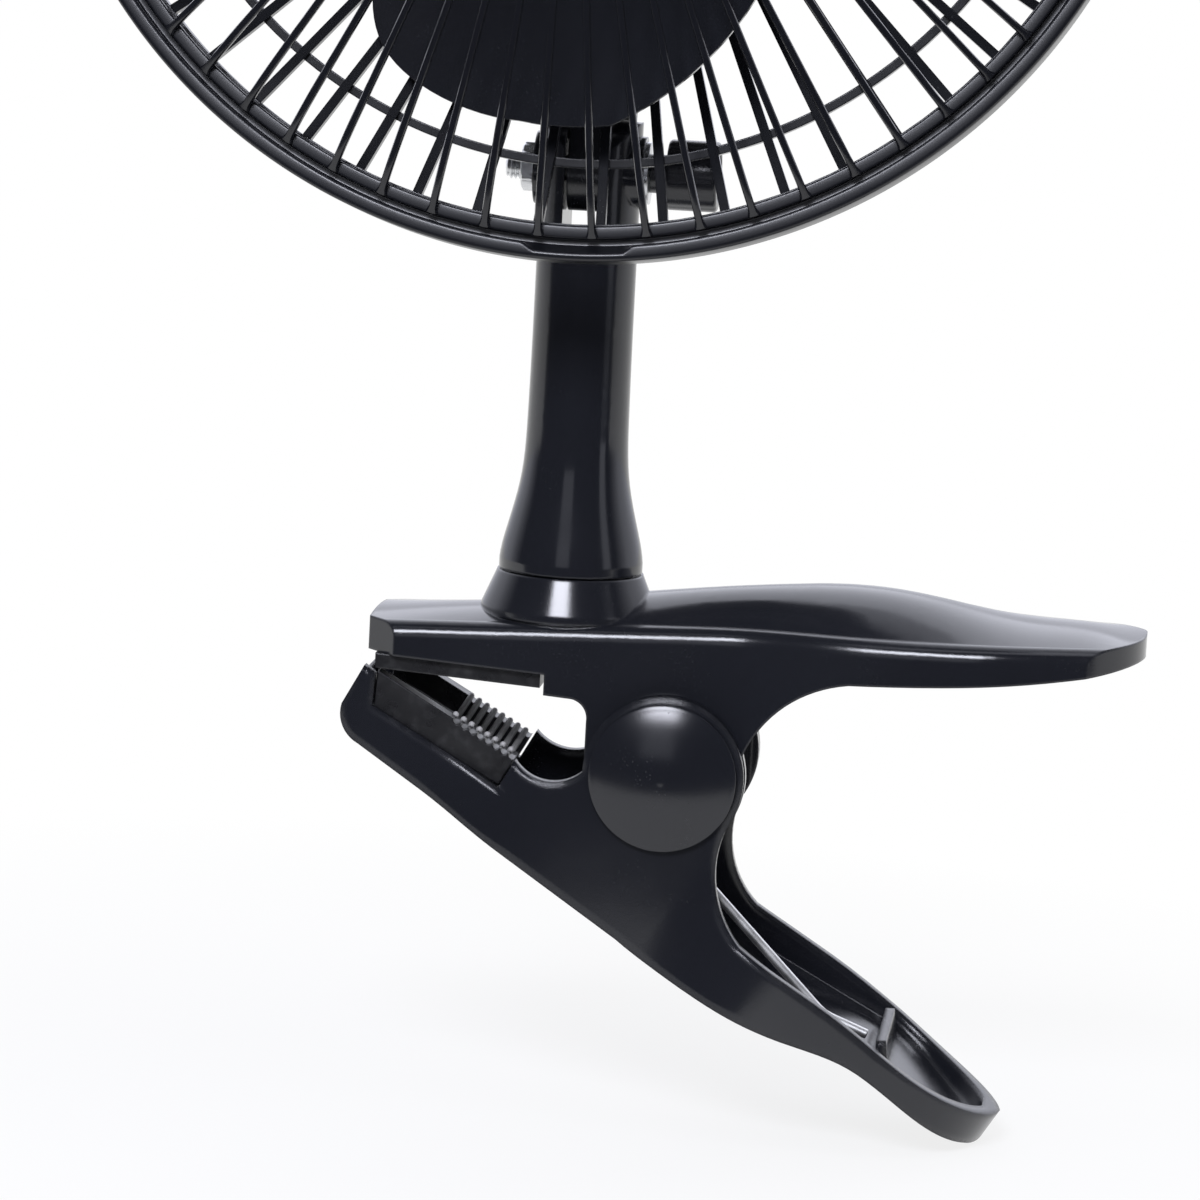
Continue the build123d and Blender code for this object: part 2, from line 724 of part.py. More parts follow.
coil_start = touch_angle(foot_bend, -1)
coil_end = touch_angle(head_end, 1)
coil_sweep = 2 * pi * coil_turns + (coil_start - coil_end) % (2 * pi)
coil_length = coil_pitch * coil_sweep / (2 * pi)
half_turns = round(coil_sweep / pi)


def coil_point(step):
    """Middle of the wire after a number of half turns, clockwise and away from the near side."""
    angle = coil_start - coil_sweep * step / half_turns
    along = coil_length * (step / half_turns - 0.5)
    return Vector(pivot_x + coil_radius * cos(angle), along, pivot_z + coil_radius * sin(angle))


def coil_heading(step):
    """Direction of the wire there: along the helix, but square to the pin at its two ends."""
    angle = coil_start - coil_sweep * step / half_turns
    climb = coil_length / coil_sweep / coil_radius if 0 < step < half_turns else 0.0
    return Vector(sin(angle), climb, -cos(angle)).normalized()


def half_turn(step):
    """The joint and the middle heading of the two tangent arcs that make one half turn."""
    start = coil_point(step)
    end = coil_point(step + 1)
    first = coil_heading(step)
    last = coil_heading(step + 1)
    chord = end - start
    both = first + last
    bend = 4 - both.dot(both)
    lean = chord.dot(both)
    arm = (sqrt(lean * lean + bend * chord.dot(chord)) - lean) / bend
    joint = (start + first * arm + end - last * arm) * 0.5
    return joint, (joint - start - first * arm).normalized()


with BuildLine() as spring_path:
    foot_y = coil_point(0).Y
    head_y = coil_point(half_turns).Y
    foot = (foot_end[0], foot_y, foot_end[1])
    bend_point = (foot_bend[0], foot_y, foot_bend[1])
    FilletPolyline(foot, bend_point, coil_point(0), radius=leg_bend_radius)
    for step in range(half_turns):
        joint, heading = half_turn(step)
        TangentArc(coil_point(step), joint, tangent=coil_heading(step))
        TangentArc(joint, coil_point(step + 1), tangent=heading)
    Line(coil_point(half_turns), (head_end[0], head_y, head_end[1]))
spring_wire = spring_path.wires()[0]

with BuildPart() as clip_spring:
    with BuildSketch(Plane(origin=spring_wire @ 0, z_dir=spring_wire % 0)):
        Circle(wire / 2)
    sweep(path=spring_wire)

# least gap of the wire to itself, measured on points along it
path_steps = 1200
path_points = [spring_wire @ (step / path_steps) for step in range(path_steps + 1)]
near_steps = ceil(3 * wire * path_steps / spring_wire.length)
least_gap = min(
    (path_points[one] - path_points[two]).length
    for one in range(0, path_steps + 1, 2)
    for two in range(one + near_steps, path_steps + 1)
)
print("clip_spring least gap to itself", round(least_gap - wire, 2), "mm")

# ---------------------------------------------------------------- neck with its turning foot and fork
foot_z = collar_top_z + seat_gap
spigot_top_z = socket_floor_z + seat_gap
spigot_end_z = collar_base_z - seat_gap
slot_bottom_z = bolt_z - slot_depth
neck_pilot_radius = neck_screw_radius + screw_fit
with BuildPart() as neck:
    with BuildSketch(Plane.XZ):
        with BuildLine():
            foot_edge = (neck_x + neck_foot_radius, foot_z + neck_foot_rim)
            column_top = (neck_x + neck_radius, foot_z + neck_flare)
            Polyline(
                (neck_x, bolt_z + reach),
                (neck_x, spigot_end_z),
                (neck_x + spigot_radius, spigot_end_z),
                (neck_x + spigot_radius, spigot_top_z),
                (neck_x + socket_radius, spigot_top_z),
                (neck_x + socket_radius, foot_z),
                (neck_x + neck_foot_radius, foot_z),
                foot_edge,
            )
            waist = [(neck_x + neck_radius + swell, foot_z + height) for height, swell in neck_swell]
            Spline(foot_edge, *waist, column_top, tangents=[(-0.1, 1), (0, 1)])
            Polyline(column_top, (neck_x + neck_radius, bolt_z + reach), (neck_x, bolt_z + reach))
        make_face()
    revolve(axis=Axis((neck_x, 0, 0), (0, 0, 1)))
    # the fork's top is round about the bolt
    with BuildSketch(Plane.YZ.offset(neck_x)):
        with Locations((0, bolt_z)):
            Circle(neck_radius)
        with Locations((0, bolt_z / 2)):
            Rectangle(2 * neck_foot_radius, bolt_z - neck_radius)
        with Locations((0, bolt_z - neck_radius)):
            Rectangle(2 * neck_radius, 2 * neck_radius)
    extrude(amount=reach, both=True, mode=Mode.INTERSECT)
    # round bosses on both sides
    with BuildSketch(Plane.YZ.offset(neck_x)):
        with Locations((0, bolt_z)):
            Circle(boss_ear_radius)
    extrude(amount=boss_ear_half_width, both=True)
    # slot for the tongue, a core hole below it, and the holes of the bolt and the screw
    with BuildSketch(Plane.XZ):
        with Locations((neck_x, slot_bottom_z + reach / 2)):
            Rectangle(2 * slot_half_width, reach)
    extrude(amount=reach, both=True, mode=Mode.SUBTRACT)
    core_depth = slot_bottom_z - foot_z - neck_core_floor
    core_hole = disc(Plane.XY.offset(slot_bottom_z), neck_x, 0, neck_bore)
    extrude(core_hole, amount=-core_depth, mode=Mode.SUBTRACT)
    bolt_hole = disc(Plane.YZ.offset(neck_x), 0, bolt_z, tilt_bolt_radius + turning_fit)
    extrude(bolt_hole, amount=reach, both=True, mode=Mode.SUBTRACT)
    pilot = disc(Plane.XY.offset(spigot_end_z), neck_x, 0, neck_pilot_radius)
    extrude(pilot, amount=neck_screw_length, mode=Mode.SUBTRACT)


def cross_slot(plane, x, y, span):
    """A cross recess for a screwdriver, on a screw's head."""
    with BuildSketch(plane) as recess:
        with Locations((x, y)):
            Rectangle(span, span / 4)
            Rectangle(span / 4, span)
    return recess.sketch


with BuildPart() as neck_washer:
    washer_face = disc(Plane.XY.offset(spigot_end_z), neck_x, 0, neck_washer_radius, neck_pilot_radius)
    extrude(washer_face, amount=-neck_washer_thickness)

with BuildPart() as neck_screw:
    head_top_z = spigot_end_z - neck_washer_thickness
    shank = disc(Plane.XY.offset(head_top_z), neck_x, 0, neck_screw_radius)
    extrude(shank, amount=neck_screw_length)
    head = disc(Plane.XY.offset(head_top_z), neck_x, 0, screw_head_radius)
    extrude(head, amount=-screw_head_height)
    recess = cross_slot(Plane.XY.offset(head_top_z - screw_head_height), neck_x, 0, screw_head_radius)
    extrude(recess, amount=screw_head_height / 2, mode=Mode.SUBTRACT)

# ---------------------------------------------------------------- tilt joint: bolt, nut, washer and knob
right_face = neck_x + boss_ear_half_width
left_face = neck_x - boss_ear_half_width
grip_x = neck_x + knob_start
with BuildPart() as tilt_bolt:
    shank = disc(Plane.YZ.offset(neck_x - thread_end), 0, bolt_z, tilt_bolt_radius)
    extrude(shank, amount=thread_end + knob_start + knob_socket)
    chamfer(tilt_bolt.edges().sort_by(Axis.X)[0], length=thread_chamfer)

with BuildPart() as tilt_nut:
    with BuildSketch(Plane.YZ.offset(left_face)):
        with Locations((0, bolt_z)):
            RegularPolygon(nut_flats / 2, 6, major_radius=False)
            Circle(tilt_bolt_radius + turning_fit, mode=Mode.SUBTRACT)
    extrude(amount=-nut_thickness)

with BuildPart() as tilt_washer:
    face = disc(Plane.YZ.offset(right_face), 0, bolt_z, tilt_washer_radius, tilt_bolt_radius + turning_fit)
    extrude(face, amount=tilt_washer_thickness)

with BuildPart() as tilt_knob:
    stem_x = right_face + tilt_washer_thickness + joint_gap
    extrude(disc(Plane.YZ.offset(stem_x), 0, bolt_z, knob_stem_radius), amount=grip_x - stem_x)
    with BuildSketch(Plane.YZ.offset(grip_x)):
        with Locations((0, bolt_z)):
            Circle(knob_radius)
            with PolarLocations(knob_radius + flute_radius / 3, flute_count):
                Circle(flute_radius, mode=Mode.SUBTRACT)
    extrude(amount=knob_length)
    socket = disc(Plane.YZ.offset(stem_x), 0, bolt_z, tilt_bolt_radius)
    extrude(socket, amount=grip_x + knob_socket - stem_x, mode=Mode.SUBTRACT)

# ---------------------------------------------------------------- front half of the guard
lip_inner = rim_radius - lip_width
ring_outer = lip_inner - channel_width
ring_inner = ring_outer - guard_ring_width
ring_middle = (ring_inner + ring_outer) / 2
with BuildPart() as front_grille:
    # ribs: a dish with a steep side, cut into spokes
    with BuildSketch(turned_plane):
        with BuildLine():
            FilletPolyline(
                (ring_middle, channel_front),
                (bend_radius, bend_front),
                (badge_ring_radius - badge_ring_width / 2, badge_seat),
                radius=rib_bend,
            )
        trace(line_width=front_rib_depth)
    revolve(axis=fan_axis)
    with BuildSketch(face_plane):
        with PolarLocations(0, front_rib_count, start_angle=rib_start_angle):
            with Locations((ring_middle / 2, 0)):
                Rectangle(ring_middle, front_rib_width)
    extrude(amount=reach, both=True, mode=Mode.INTERSECT)
    # lip, channel and ring around them, with the skirt that covers the rear half
    with BuildSketch(turned_plane):
        with BuildLine():
            lip_outer = (rim_radius, lip_front - lip_width / 2)
            lip_crest = (rim_radius - lip_width / 2, lip_front)
            lip_edge = (lip_inner, lip_front - lip_width / 2)
            Polyline((rim_radius - skirt_width, skirt_back), (rim_radius, skirt_back), lip_outer)
            ThreePointArc(lip_outer, lip_crest, lip_edge)
            Polyline(
                lip_edge,
                (lip_inner, channel_front),
                (ring_outer, channel_front),
                (ring_outer, guard_ring_front),
                (ring_inner, guard_ring_front),
                (ring_inner, rim_back),
                (rim_radius - skirt_width, rim_back),
                (rim_radius - skirt_width, skirt_back),
            )
        make_face()
    revolve(axis=fan_axis)
    # cup in the middle that the badge sits in
    badge_ring_inner = badge_ring_radius - badge_ring_width
    cup = turned(
        [
            (0, badge_seat - badge_floor),
            (badge_ring_radius, badge_seat - badge_floor),
            (badge_ring_radius, badge_ring_front),
            (badge_ring_inner, badge_ring_front),
            (badge_ring_inner, badge_seat),
            (0, badge_seat),
        ]
    )
    revolve(cup, axis=fan_axis)
    # shallow notch in the lip at the bottom
    with BuildSketch(face_plane.offset(channel_front)):
        with Locations((0, -rim_radius)):
            Rectangle(notch_width, 4 * lip_width)
        Circle(lip_inner + notch_depth, mode=Mode.INTERSECT)
        Circle(lip_inner - channel_width / 2, mode=Mode.SUBTRACT)
    extrude(amount=reach, mode=Mode.SUBTRACT)

with BuildPart() as grille_badge:
    with BuildSketch(turned_plane):
        with BuildLine():
            badge_edge = (badge_radius, badge_seat + badge_thickness)
            badge_top = (0, badge_seat + badge_thickness + badge_crown)
            badge_middle = (badge_radius / 2, badge_top[1] - dome_drop(badge_radius, badge_crown, 0.5))
            Polyline(badge_top, (0, badge_seat), (badge_radius, badge_seat), badge_edge)
            ThreePointArc(badge_edge, badge_middle, badge_top)
        make_face()
    revolve(axis=fan_axis)

# ---------------------------------------------------------------- rear half of the guard
screw_angles = [30, 150, 270]
screw_places = [(screw_ring * cos(radians(a)), screw_ring * sin(radians(a))) for a in screw_angles]
rear_ring_outer = rim_radius - skirt_width - seat_gap
plate_back = plate_front - plate_thickness


def cone_front(radius):
    """Station of the rear ribs' cone at a radius."""
    share = (cone_outer - radius) / (cone_outer - cone_inner)
    return cone_outer_back + (cone_inner_back - cone_outer_back) * share


screw_hole_radius = screw_radius + screw_fit
rear_ring_front = rim_back - seat_gap
# inner and outer radius, back and front station of the rear guard's flat rings
rear_rings = [
    (rear_ring_inner, rear_ring_outer, rear_ring_back, rear_ring_front),
    (plate_hole, plate_radius, plate_back, plate_front),
]
for hoop_radius in hoop_radii:
    hoop_front = cone_front(hoop_radius)
    hoop_edges = (hoop_radius - hoop_width / 2, hoop_radius + hoop_width / 2)
    rear_rings.append((*hoop_edges, hoop_front - hoop_depth, hoop_front))
with BuildPart() as rear_grille:
    with BuildSketch(turned_plane):
        with BuildLine():
            Line((cone_outer, cone_outer_back), (cone_inner, cone_inner_back))
        trace(line_width=rear_rib_depth)
    revolve(axis=fan_axis)
    with BuildSketch(face_plane):
        with PolarLocations(0, rear_rib_count):
            with Locations((cone_outer / 2, 0)):
                Rectangle(cone_outer, rear_rib_width)
    extrude(amount=-reach, mode=Mode.INTERSECT)
    for inner, outer, back, front in rear_rings:
        extrude(disc(face_plane.offset(back), 0, 0, outer, inner), amount=front - back)
    for x, y in screw_places:
        screw_hole = disc(face_plane.offset(plate_back), x, y, screw_hole_radius)
        extrude(screw_hole, amount=reach, mode=Mode.SUBTRACT)

# ---------------------------------------------------------------- motor housing, stem and tongue
housing_front = plate_back - joint_gap
housing_inner = housing_radius - housing_wall
back_inner = housing_back + housing_wall
round_inner = housing_round - housing_wall
bolt_side = Vector(-rim_ahead, -head_rise)  # the bolt seen from the side
stem_top = sqrt(housing_inner**2 - stem_half_width**2)
# the cord leaves midway between two vents, beside the stem and clear of the clip below
grommet_turn = radians(360 / vent_count)
grommet_out = -upward * cos(grommet_turn) - Vector(1, 0, 0) * sin(grommet_turn)
grommet_plane = Plane(origin=rim_centre + forward * grommet_station, x_dir=forward, z_dir=grommet_out)


def stem_side():
    """Side view of the stem: two straight edges that close on the tongue's round end."""
    top_back = Vector(stem_back, -stem_top)
    top_front = Vector(stem_front, -stem_top)
    back_touch = bolt_side + (bolt_side - top_back).rotate(Axis.Z, -90).normalized() * tongue_radius
    front_touch = bolt_side + (bolt_side - top_front).rotate(Axis.Z, 90).normalized() * tongue_radius
    low_point = bolt_side - Vector(0, tongue_radius)
    with BuildSketch(side_plane) as outline:
        with BuildLine():
            Polyline(front_touch, top_front, top_back, back_touch)
            ThreePointArc(back_touch, low_point, front_touch)
        make_face()
    return outline.sketch


# within reach of the fork only the tongue is left of the stem
with BuildPart() as wide_stem:
    extrude(stem_side(), amount=stem_half_width, both=True)
    with BuildSketch(side_plane):
        with Locations(bolt_side):
            Circle(stem_clear_radius)
    extrude(amount=reach, both=True, mode=Mode.SUBTRACT)

with BuildPart() as motor_housing:
    with BuildSketch(turned_plane):
        with BuildLine():
            round_middle = housing_round * (1 - sqrt(0.5))
            inner_middle = round_inner * (1 - sqrt(0.5))
            side_end = (housing_radius, housing_back + housing_round)
            back_end = (housing_radius - housing_round, housing_back)
            inner_back = (housing_inner - round_inner, back_inner)
            inner_side = (housing_inner, back_inner + round_inner)
            Polyline((housing_inner, housing_front), (housing_radius, housing_front), side_end)
            outer_turn = (housing_radius - round_middle, housing_back + round_middle)
            inner_turn = (housing_inner - inner_middle, back_inner + inner_middle)
            ThreePointArc(side_end, outer_turn, back_end)
            Polyline(back_end, (0, housing_back), (0, back_inner), inner_back)
            ThreePointArc(inner_back, inner_turn, inner_side)
            Line(inner_side, (housing_inner, housing_front))
        make_face()
    revolve(axis=fan_axis)
    # stem and tongue under the housing, screw posts inside it
    add(wide_stem.part)
    extrude(stem_side(), amount=slot_half_width - tongue_gap, both=True)
    bolt_hole = disc(side_plane, bolt_side.X, bolt_side.Y, tilt_bolt_radius + turning_fit)
    extrude(bolt_hole, amount=reach, both=True, mode=Mode.SUBTRACT)
    for x, y in screw_places:
        extrude(disc(face_plane.offset(housing_front), x, y, screw_post_radius), amount=-screw_post_length)
        pilot = disc(face_plane.offset(housing_front), x, y, screw_hole_radius)
        extrude(pilot, amount=-screw_post_length, mode=Mode.SUBTRACT)
    # cooling slots round the back
    with BuildSketch(face_plane.offset(vent_front)):
        with PolarLocations(0, vent_count, start_angle=270 + 180 / vent_count):
            with Locations((housing_radius, 0)):
                SlotOverall(housing_round, vent_width)
    extrude(amount=-vent_length, mode=Mode.SUBTRACT)
    # hole for the switch's shaft, and for the cord's grommet at the lower left of the stem
    shaft_hole = disc(face_plane.offset(back_inner), 0, knob_drop, switch_shaft_radius + seat_gap)
    extrude(shaft_hole, amount=-reach, mode=Mode.SUBTRACT)
    grommet_hole = disc(grommet_plane, 0, 0, grommet_neck + joint_gap)
    extrude(grommet_hole, amount=reach, mode=Mode.SUBTRACT)

# ---------------------------------------------------------------- motor cover, which clamps the rear guard
cover_back = plate_front + joint_gap
cover_front = cover_back + cover_thickness
bracket_front = core_front + bracket_standoff + bracket_thickness
motor_bolt_places = [(side * motor_bolt_x, motor_bolt_y) for side in (-1, 1)]
with BuildPart() as motor_cover:
    extrude(disc(face_plane.offset(cover_back), 0, 0, cover_radius), amount=cover_thickness)
    cover_hub = disc(face_plane.offset(cover_back), 0, 0, cover_hub_radius)
    extrude(cover_hub, amount=cover_thickness + cover_hub_height)
    for x, y in motor_bolt_places:
        boss = disc(face_plane.offset(bracket_front), x, y, pillar_radius)
        extrude(boss, amount=cover_back - bracket_front)
        pilot = disc(face_plane.offset(bracket_front), x, y, screw_hole_radius)
        extrude(pilot, amount=motor_bolt_grip, mode=Mode.SUBTRACT)
    for x, y in screw_places:
        screw_hole = disc(face_plane.offset(cover_back), x, y, screw_hole_radius)
        extrude(screw_hole, amount=reach, mode=Mode.SUBTRACT)
    shaft_passage = disc(face_plane, 0, 0, shaft_radius + shaft_clearance)
    extrude(shaft_passage, amount=reach, both=True, mode=Mode.SUBTRACT)

with BuildPart() as housing_screws:
    for x, y in screw_places:
        extrude(disc(face_plane.offset(cover_front), x, y, screw_radius), amount=-screw_length)
        extrude(disc(face_plane.offset(cover_front), x, y, pan_head_radius), amount=pan_head_height)
        recess = cross_slot(face_plane.offset(cover_front + pan_head_height), x, y, pan_head_radius)
        extrude(recess, amount=-pan_head_height / 2, mode=Mode.SUBTRACT)

# ---------------------------------------------------------------- fan blade with its hub
# distance from the axis, half chord, pitch and camber of the blade's sections
blade_sections = (
    (11.0, 22.0, 28.0, 1.0),
    (30.0, 40.0, 25.0, 2.6),
    (48.0, 44.0, 20.0, 3.2),
    (72.0, 40.0, 17.0, 2.4),
)
# outline of the downward blade seen from the front: its two sides and the ends of its round tip
blade_root = ((-13.0, -10.0), (14.0, -8.6))
blade_left_side = ((-26.0, -26.0), (-34.0, -44.0), (-32.4, -56.4), (-23.6, -64.2))
blade_right_side = ((15.4, -62.7), (24.7, -53.2), (30.4, -42.0), (27.0, -22.0))
tip_middle_x = -1.6
tip_left = (-9.0, -blade_tip_radius * 0.99)
tip_right = (5.8, -blade_tip_radius * 0.995)


def blade_section(distance, half_chord, pitch, camber):
    """A thin cambered section, square to the downward blade: its left edge lies to the rear."""
    along = Vector(cos(radians(pitch)), sin(radians(pitch)))
    across = Vector(-along.Y, along.X)
    middle = Vector(0, blade_station)
    half = across * (blade_thickness / 2)
    left = middle - along * half_chord
    right = middle + along * half_chord
    belly = middle - across * camber
    section_plane = Plane(origin=rim_centre - upward * distance, x_dir=(1, 0, 0), z_dir=-upward)
    with BuildSketch(section_plane) as section:
        with BuildLine():
            ThreePointArc(left + half, belly + half, right + half)
            Line(right + half, right - half)
            ThreePointArc(right - half, belly - half, left - half)
            Line(left - half, left + half)
        make_face()
    return section.sketch


with BuildPart() as one_blade:
    loft([blade_section(*station) for station in blade_sections])
    with BuildSketch(face_plane):
        with BuildLine():
            Spline(blade_root[0], *blade_left_side, tip_left)
            ThreePointArc(tip_left, (tip_middle_x, -blade_tip_radius), tip_right)
            Spline(tip_right, *blade_right_side, blade_root[1])
            Line(blade_root[1], blade_root[0])
        make_face()
    extrude(amount=reach, both=True, mode=Mode.INTERSECT)

with BuildPart() as fan_blade:
    hub_dome = (hub_radius / 2, hub_front - dome_drop(hub_radius, hub_crown, 0.5))
    hub_edge = (hub_radius, hub_front - hub_crown)
    with BuildSketch(turned_plane):
        with BuildLine():
            Polyline((0, hub_front), (0, hub_back), (hub_radius, hub_back), hub_edge)
            ThreePointArc(hub_edge, hub_dome, (0, hub_front))
        make_face()
    revolve(axis=fan_axis)
    for blade in range(blade_count):
        add(one_blade.part.rotate(fan_axis, blade * 360 / blade_count))
    hollow_depth = hub_front - hub_crown - hub_wall - hub_back
    hollow = disc(face_plane.offset(hub_back), 0, 0, hub_radius - hub_wall)
    extrude(hollow, amount=hollow_depth, mode=Mode.SUBTRACT)
    hub_boss = disc(face_plane.offset(hub_back + hub_wall), 0, 0, hub_boss_radius)
    extrude(hub_boss, amount=hollow_depth)
    shaft_bore = disc(face_plane.offset(shaft_front), 0, 0, shaft_radius)
    extrude(shaft_bore, amount=-reach, mode=Mode.SUBTRACT)

# ---------------------------------------------------------------- motor: shaft, rotor and thrust washers
front_bearing_middle = bracket_front - bracket_thickness / 2
rear_bearing_middle = core_back - bracket_standoff - bracket_thickness / 2
bearing_half = bearing_length / 2
rotor_radius = core_bore - air_gap
with BuildPart() as motor_shaft:
    extrude(disc(face_plane.offset(shaft_back), 0, 0, shaft_radius), amount=shaft_front - shaft_back)

with BuildPart() as rotor_core:
    rotor_face = disc(face_plane.offset(core_back - rotor_overhang), 0, 0, rotor_radius, shaft_radius)
    extrude(rotor_face, amount=core_front - core_back + 2 * rotor_overhang)

with BuildPart() as thrust_washers:
    for start in (
        front_bearing_middle - bearing_half - seat_gap - thrust_thickness,
        rear_bearing_middle + bearing_half + seat_gap,
    ):
        extrude(disc(face_plane.offset(start), 0, 0, thrust_radius, shaft_radius), amount=thrust_thickness)

# ---------------------------------------------------------------- motor: core, coil and shading rings
core_length = core_front - core_back
with BuildPart() as stator_core:
    with BuildSketch(face_plane.offset(core_back)):
        with Locations((0, (core_bottom + limb_top) / 2)):
            RectangleRounded(2 * core_half_width, limb_top - core_bottom, core_corner)
        with Locations((0, (window_bottom + limb_bottom) / 2)):
            Rectangle(2 * window_half_width, limb_bottom - window_bottom, mode=Mode.SUBTRACT)
        Circle(core_bore, mode=Mode.SUBTRACT)
        with Locations((-shading_x, shading_y), (shading_x, shading_y)):
            Rectangle(shading_wire + 2 * bobbin_fit, shading_wire + 2 * bobbin_fit, mode=Mode.SUBTRACT)
        with Locations(*motor_bolt_places):
            Circle(screw_hole_radius, mode=Mode.SUBTRACT)
    extrude(amount=core_length)

core_middle = (core_front + core_back) / 2
limb_centre = rim_centre + upward * (limb_bottom + limb_top) / 2 + forward * core_middle
limb_plane = Plane(origin=limb_centre, x_dir=forward, z_dir=(1, 0, 0))
bobbin_outer = bobbin_fit + bobbin_wall
coil_outer = bobbin_outer + coil_build


def limb_frame(start, inner, outer):
    """A rectangular frame round the core's upper limb, between two gaps from the limb."""
    with BuildSketch(limb_plane.offset(start)) as frame:
        Rectangle(core_length + 2 * outer, limb_top - limb_bottom + 2 * outer)
        Rectangle(core_length + 2 * inner, limb_top - limb_bottom + 2 * inner, mode=Mode.SUBTRACT)
    return frame.sketch


with BuildPart() as coil_bobbin:
    extrude(limb_frame(-bobbin_half_width, bobbin_fit, bobbin_outer), amount=2 * bobbin_half_width)
    for start in (-bobbin_half_width, bobbin_half_width - bobbin_flange):
        extrude(limb_frame(start, bobbin_fit, coil_outer), amount=bobbin_flange)

with BuildPart() as stator_coil:
    coil_half = bobbin_half_width - bobbin_flange
    extrude(limb_frame(-coil_half, bobbin_outer, coil_outer), amount=2 * coil_half)

# a copper ring through each slot and round the core's outside
with BuildPart() as shading_rings:
    ring_plane = Plane(origin=rim_centre + upward * shading_y, x_dir=(1, 0, 0), z_dir=upward)
    ring_start = shading_x - shading_wire / 2
    ring_end = core_half_width + seat_gap + shading_wire
    ring_length = core_length + 2 * (seat_gap + shading_wire)
    for side in (-1, 1):
        with BuildSketch(ring_plane.offset(-shading_wire / 2)):
            with Locations((side * (ring_start + ring_end) / 2, -core_middle)):
                Rectangle(ring_end - ring_start, ring_length)
                Rectangle(
                    ring_end - ring_start - 2 * shading_wire,
                    ring_length - 2 * shading_wire,
                    mode=Mode.SUBTRACT,
                )
        extrude(amount=shading_wire)


# ---------------------------------------------------------------- motor: bearing brackets
def bracket_plate(station):
    """The plate of a bracket: the outline round its hub and its two bolts, with their holes."""
    with BuildSketch(face_plane.offset(station)) as plate:
        Circle(bracket_hub_radius)
        with Locations(*motor_bolt_places):
            Circle(pillar_radius)
        make_hull()
        Circle(bearing_radius + bearing_fit, mode=Mode.SUBTRACT)
        with Locations(*motor_bolt_places):
            Circle(screw_hole_radius, mode=Mode.SUBTRACT)
    return plate.sketch


def hub_ring(middle):
    """End face of a bracket's hub, at its rear end."""
    rear_end = face_plane.offset(middle - bearing_half)
    return disc(rear_end, 0, 0, bracket_hub_radius, bearing_radius + bearing_fit)


def pillar_ring(station, place):
    """End face of a pillar that stands on the core."""
    return disc(face_plane.offset(station), *place, pillar_radius, screw_hole_radius)


with BuildPart() as front_bracket:
    extrude(bracket_plate(bracket_front), amount=-bracket_thickness)
    extrude(hub_ring(front_bearing_middle), amount=bearing_length)
    for place in motor_bolt_places:
        extrude(pillar_ring(core_front, place), amount=bracket_standoff)

with BuildPart() as rear_bracket:
    extrude(bracket_plate(core_back - bracket_standoff), amount=-bracket_thickness)
    extrude(hub_ring(rear_bearing_middle), amount=bearing_length)
    for place in motor_bolt_places:
        extrude(pillar_ring(core_back, place), amount=-bracket_standoff)


def bearing_ring(middle):
    """End face of a plain bearing, at its rear end."""
    return disc(face_plane.offset(middle - bearing_half), 0, 0, bearing_radius, shaft_radius + bearing_fit)


with BuildPart() as front_bearing:
    extrude(bearing_ring(front_bearing_middle), amount=bearing_length)

with BuildPart() as rear_bearing:
    extrude(bearing_ring(rear_bearing_middle), amount=bearing_length)

with BuildPart() as motor_bolts:
    bolt_start = core_back - bracket_standoff - bracket_thickness
    bolt_length = bracket_front - bolt_start + motor_bolt_grip - seat_gap
    for x, y in motor_bolt_places:
        extrude(disc(face_plane.offset(bolt_start), x, y, screw_radius), amount=bolt_length)
        extrude(disc(face_plane.offset(bolt_start), x, y, pan_head_radius), amount=-pan_head_height)
        recess = cross_slot(face_plane.offset(bolt_start - pan_head_height), x, y, pan_head_radius)
        extrude(recess, amount=pan_head_height / 2, mode=Mode.SUBTRACT)

# ---------------------------------------------------------------- switch, its knob and the cord's grommet
switch_back = back_inner + seat_gap
with BuildPart() as switch_body:
    with BuildSketch(face_plane.offset(switch_back)):
        with Locations((0, knob_drop)):
            Rectangle(switch_width, switch_height)
    extrude(amount=switch_depth)
    bore = disc(face_plane.offset(switch_back), 0, knob_drop, switch_shaft_radius + turning_fit)
    extrude(bore, amount=switch_depth * switch_bore_share, mode=Mode.SUBTRACT)

with BuildPart() as switch_knob:
    knob_face = housing_back - seat_gap
    with BuildSketch(face_plane.offset(knob_face)):
        with Locations((0, knob_drop)):
            Circle(switch_knob_radius)
            with PolarLocations(switch_knob_radius + flute_radius / 3, knob_flute_count):
                Circle(flute_radius, mode=Mode.SUBTRACT)
    extrude(amount=-switch_knob_length)
    # a raised pointer across the knob's end
    with BuildSketch(face_plane.offset(knob_face - switch_knob_length)):
        with Locations((0, knob_drop + switch_knob_radius / 2)):
            SlotOverall(switch_knob_radius * pointer_share, pointer_width, rotation=90)
    extrude(amount=-pointer_height)
    shaft = disc(face_plane.offset(knob_face), 0, knob_drop, switch_shaft_radius)
    shaft_length = switch_back + switch_depth * switch_bore_share - seat_gap - knob_face
    extrude(shaft, amount=shaft_length)

with BuildPart() as cord_grommet:
    for start, length, radius in (
        (housing_radius, grommet_flange, grommet_radius),
        (grommet_inner_end, housing_radius - grommet_inner_end, grommet_neck),
        (grommet_inner_end, grommet_flange, grommet_radius),
    ):
        extrude(disc(grommet_plane.offset(start), 0, 0, radius), amount=length)
    bore = disc(grommet_plane, 0, 0, grommet_bore)
    extrude(bore, amount=reach, mode=Mode.SUBTRACT)

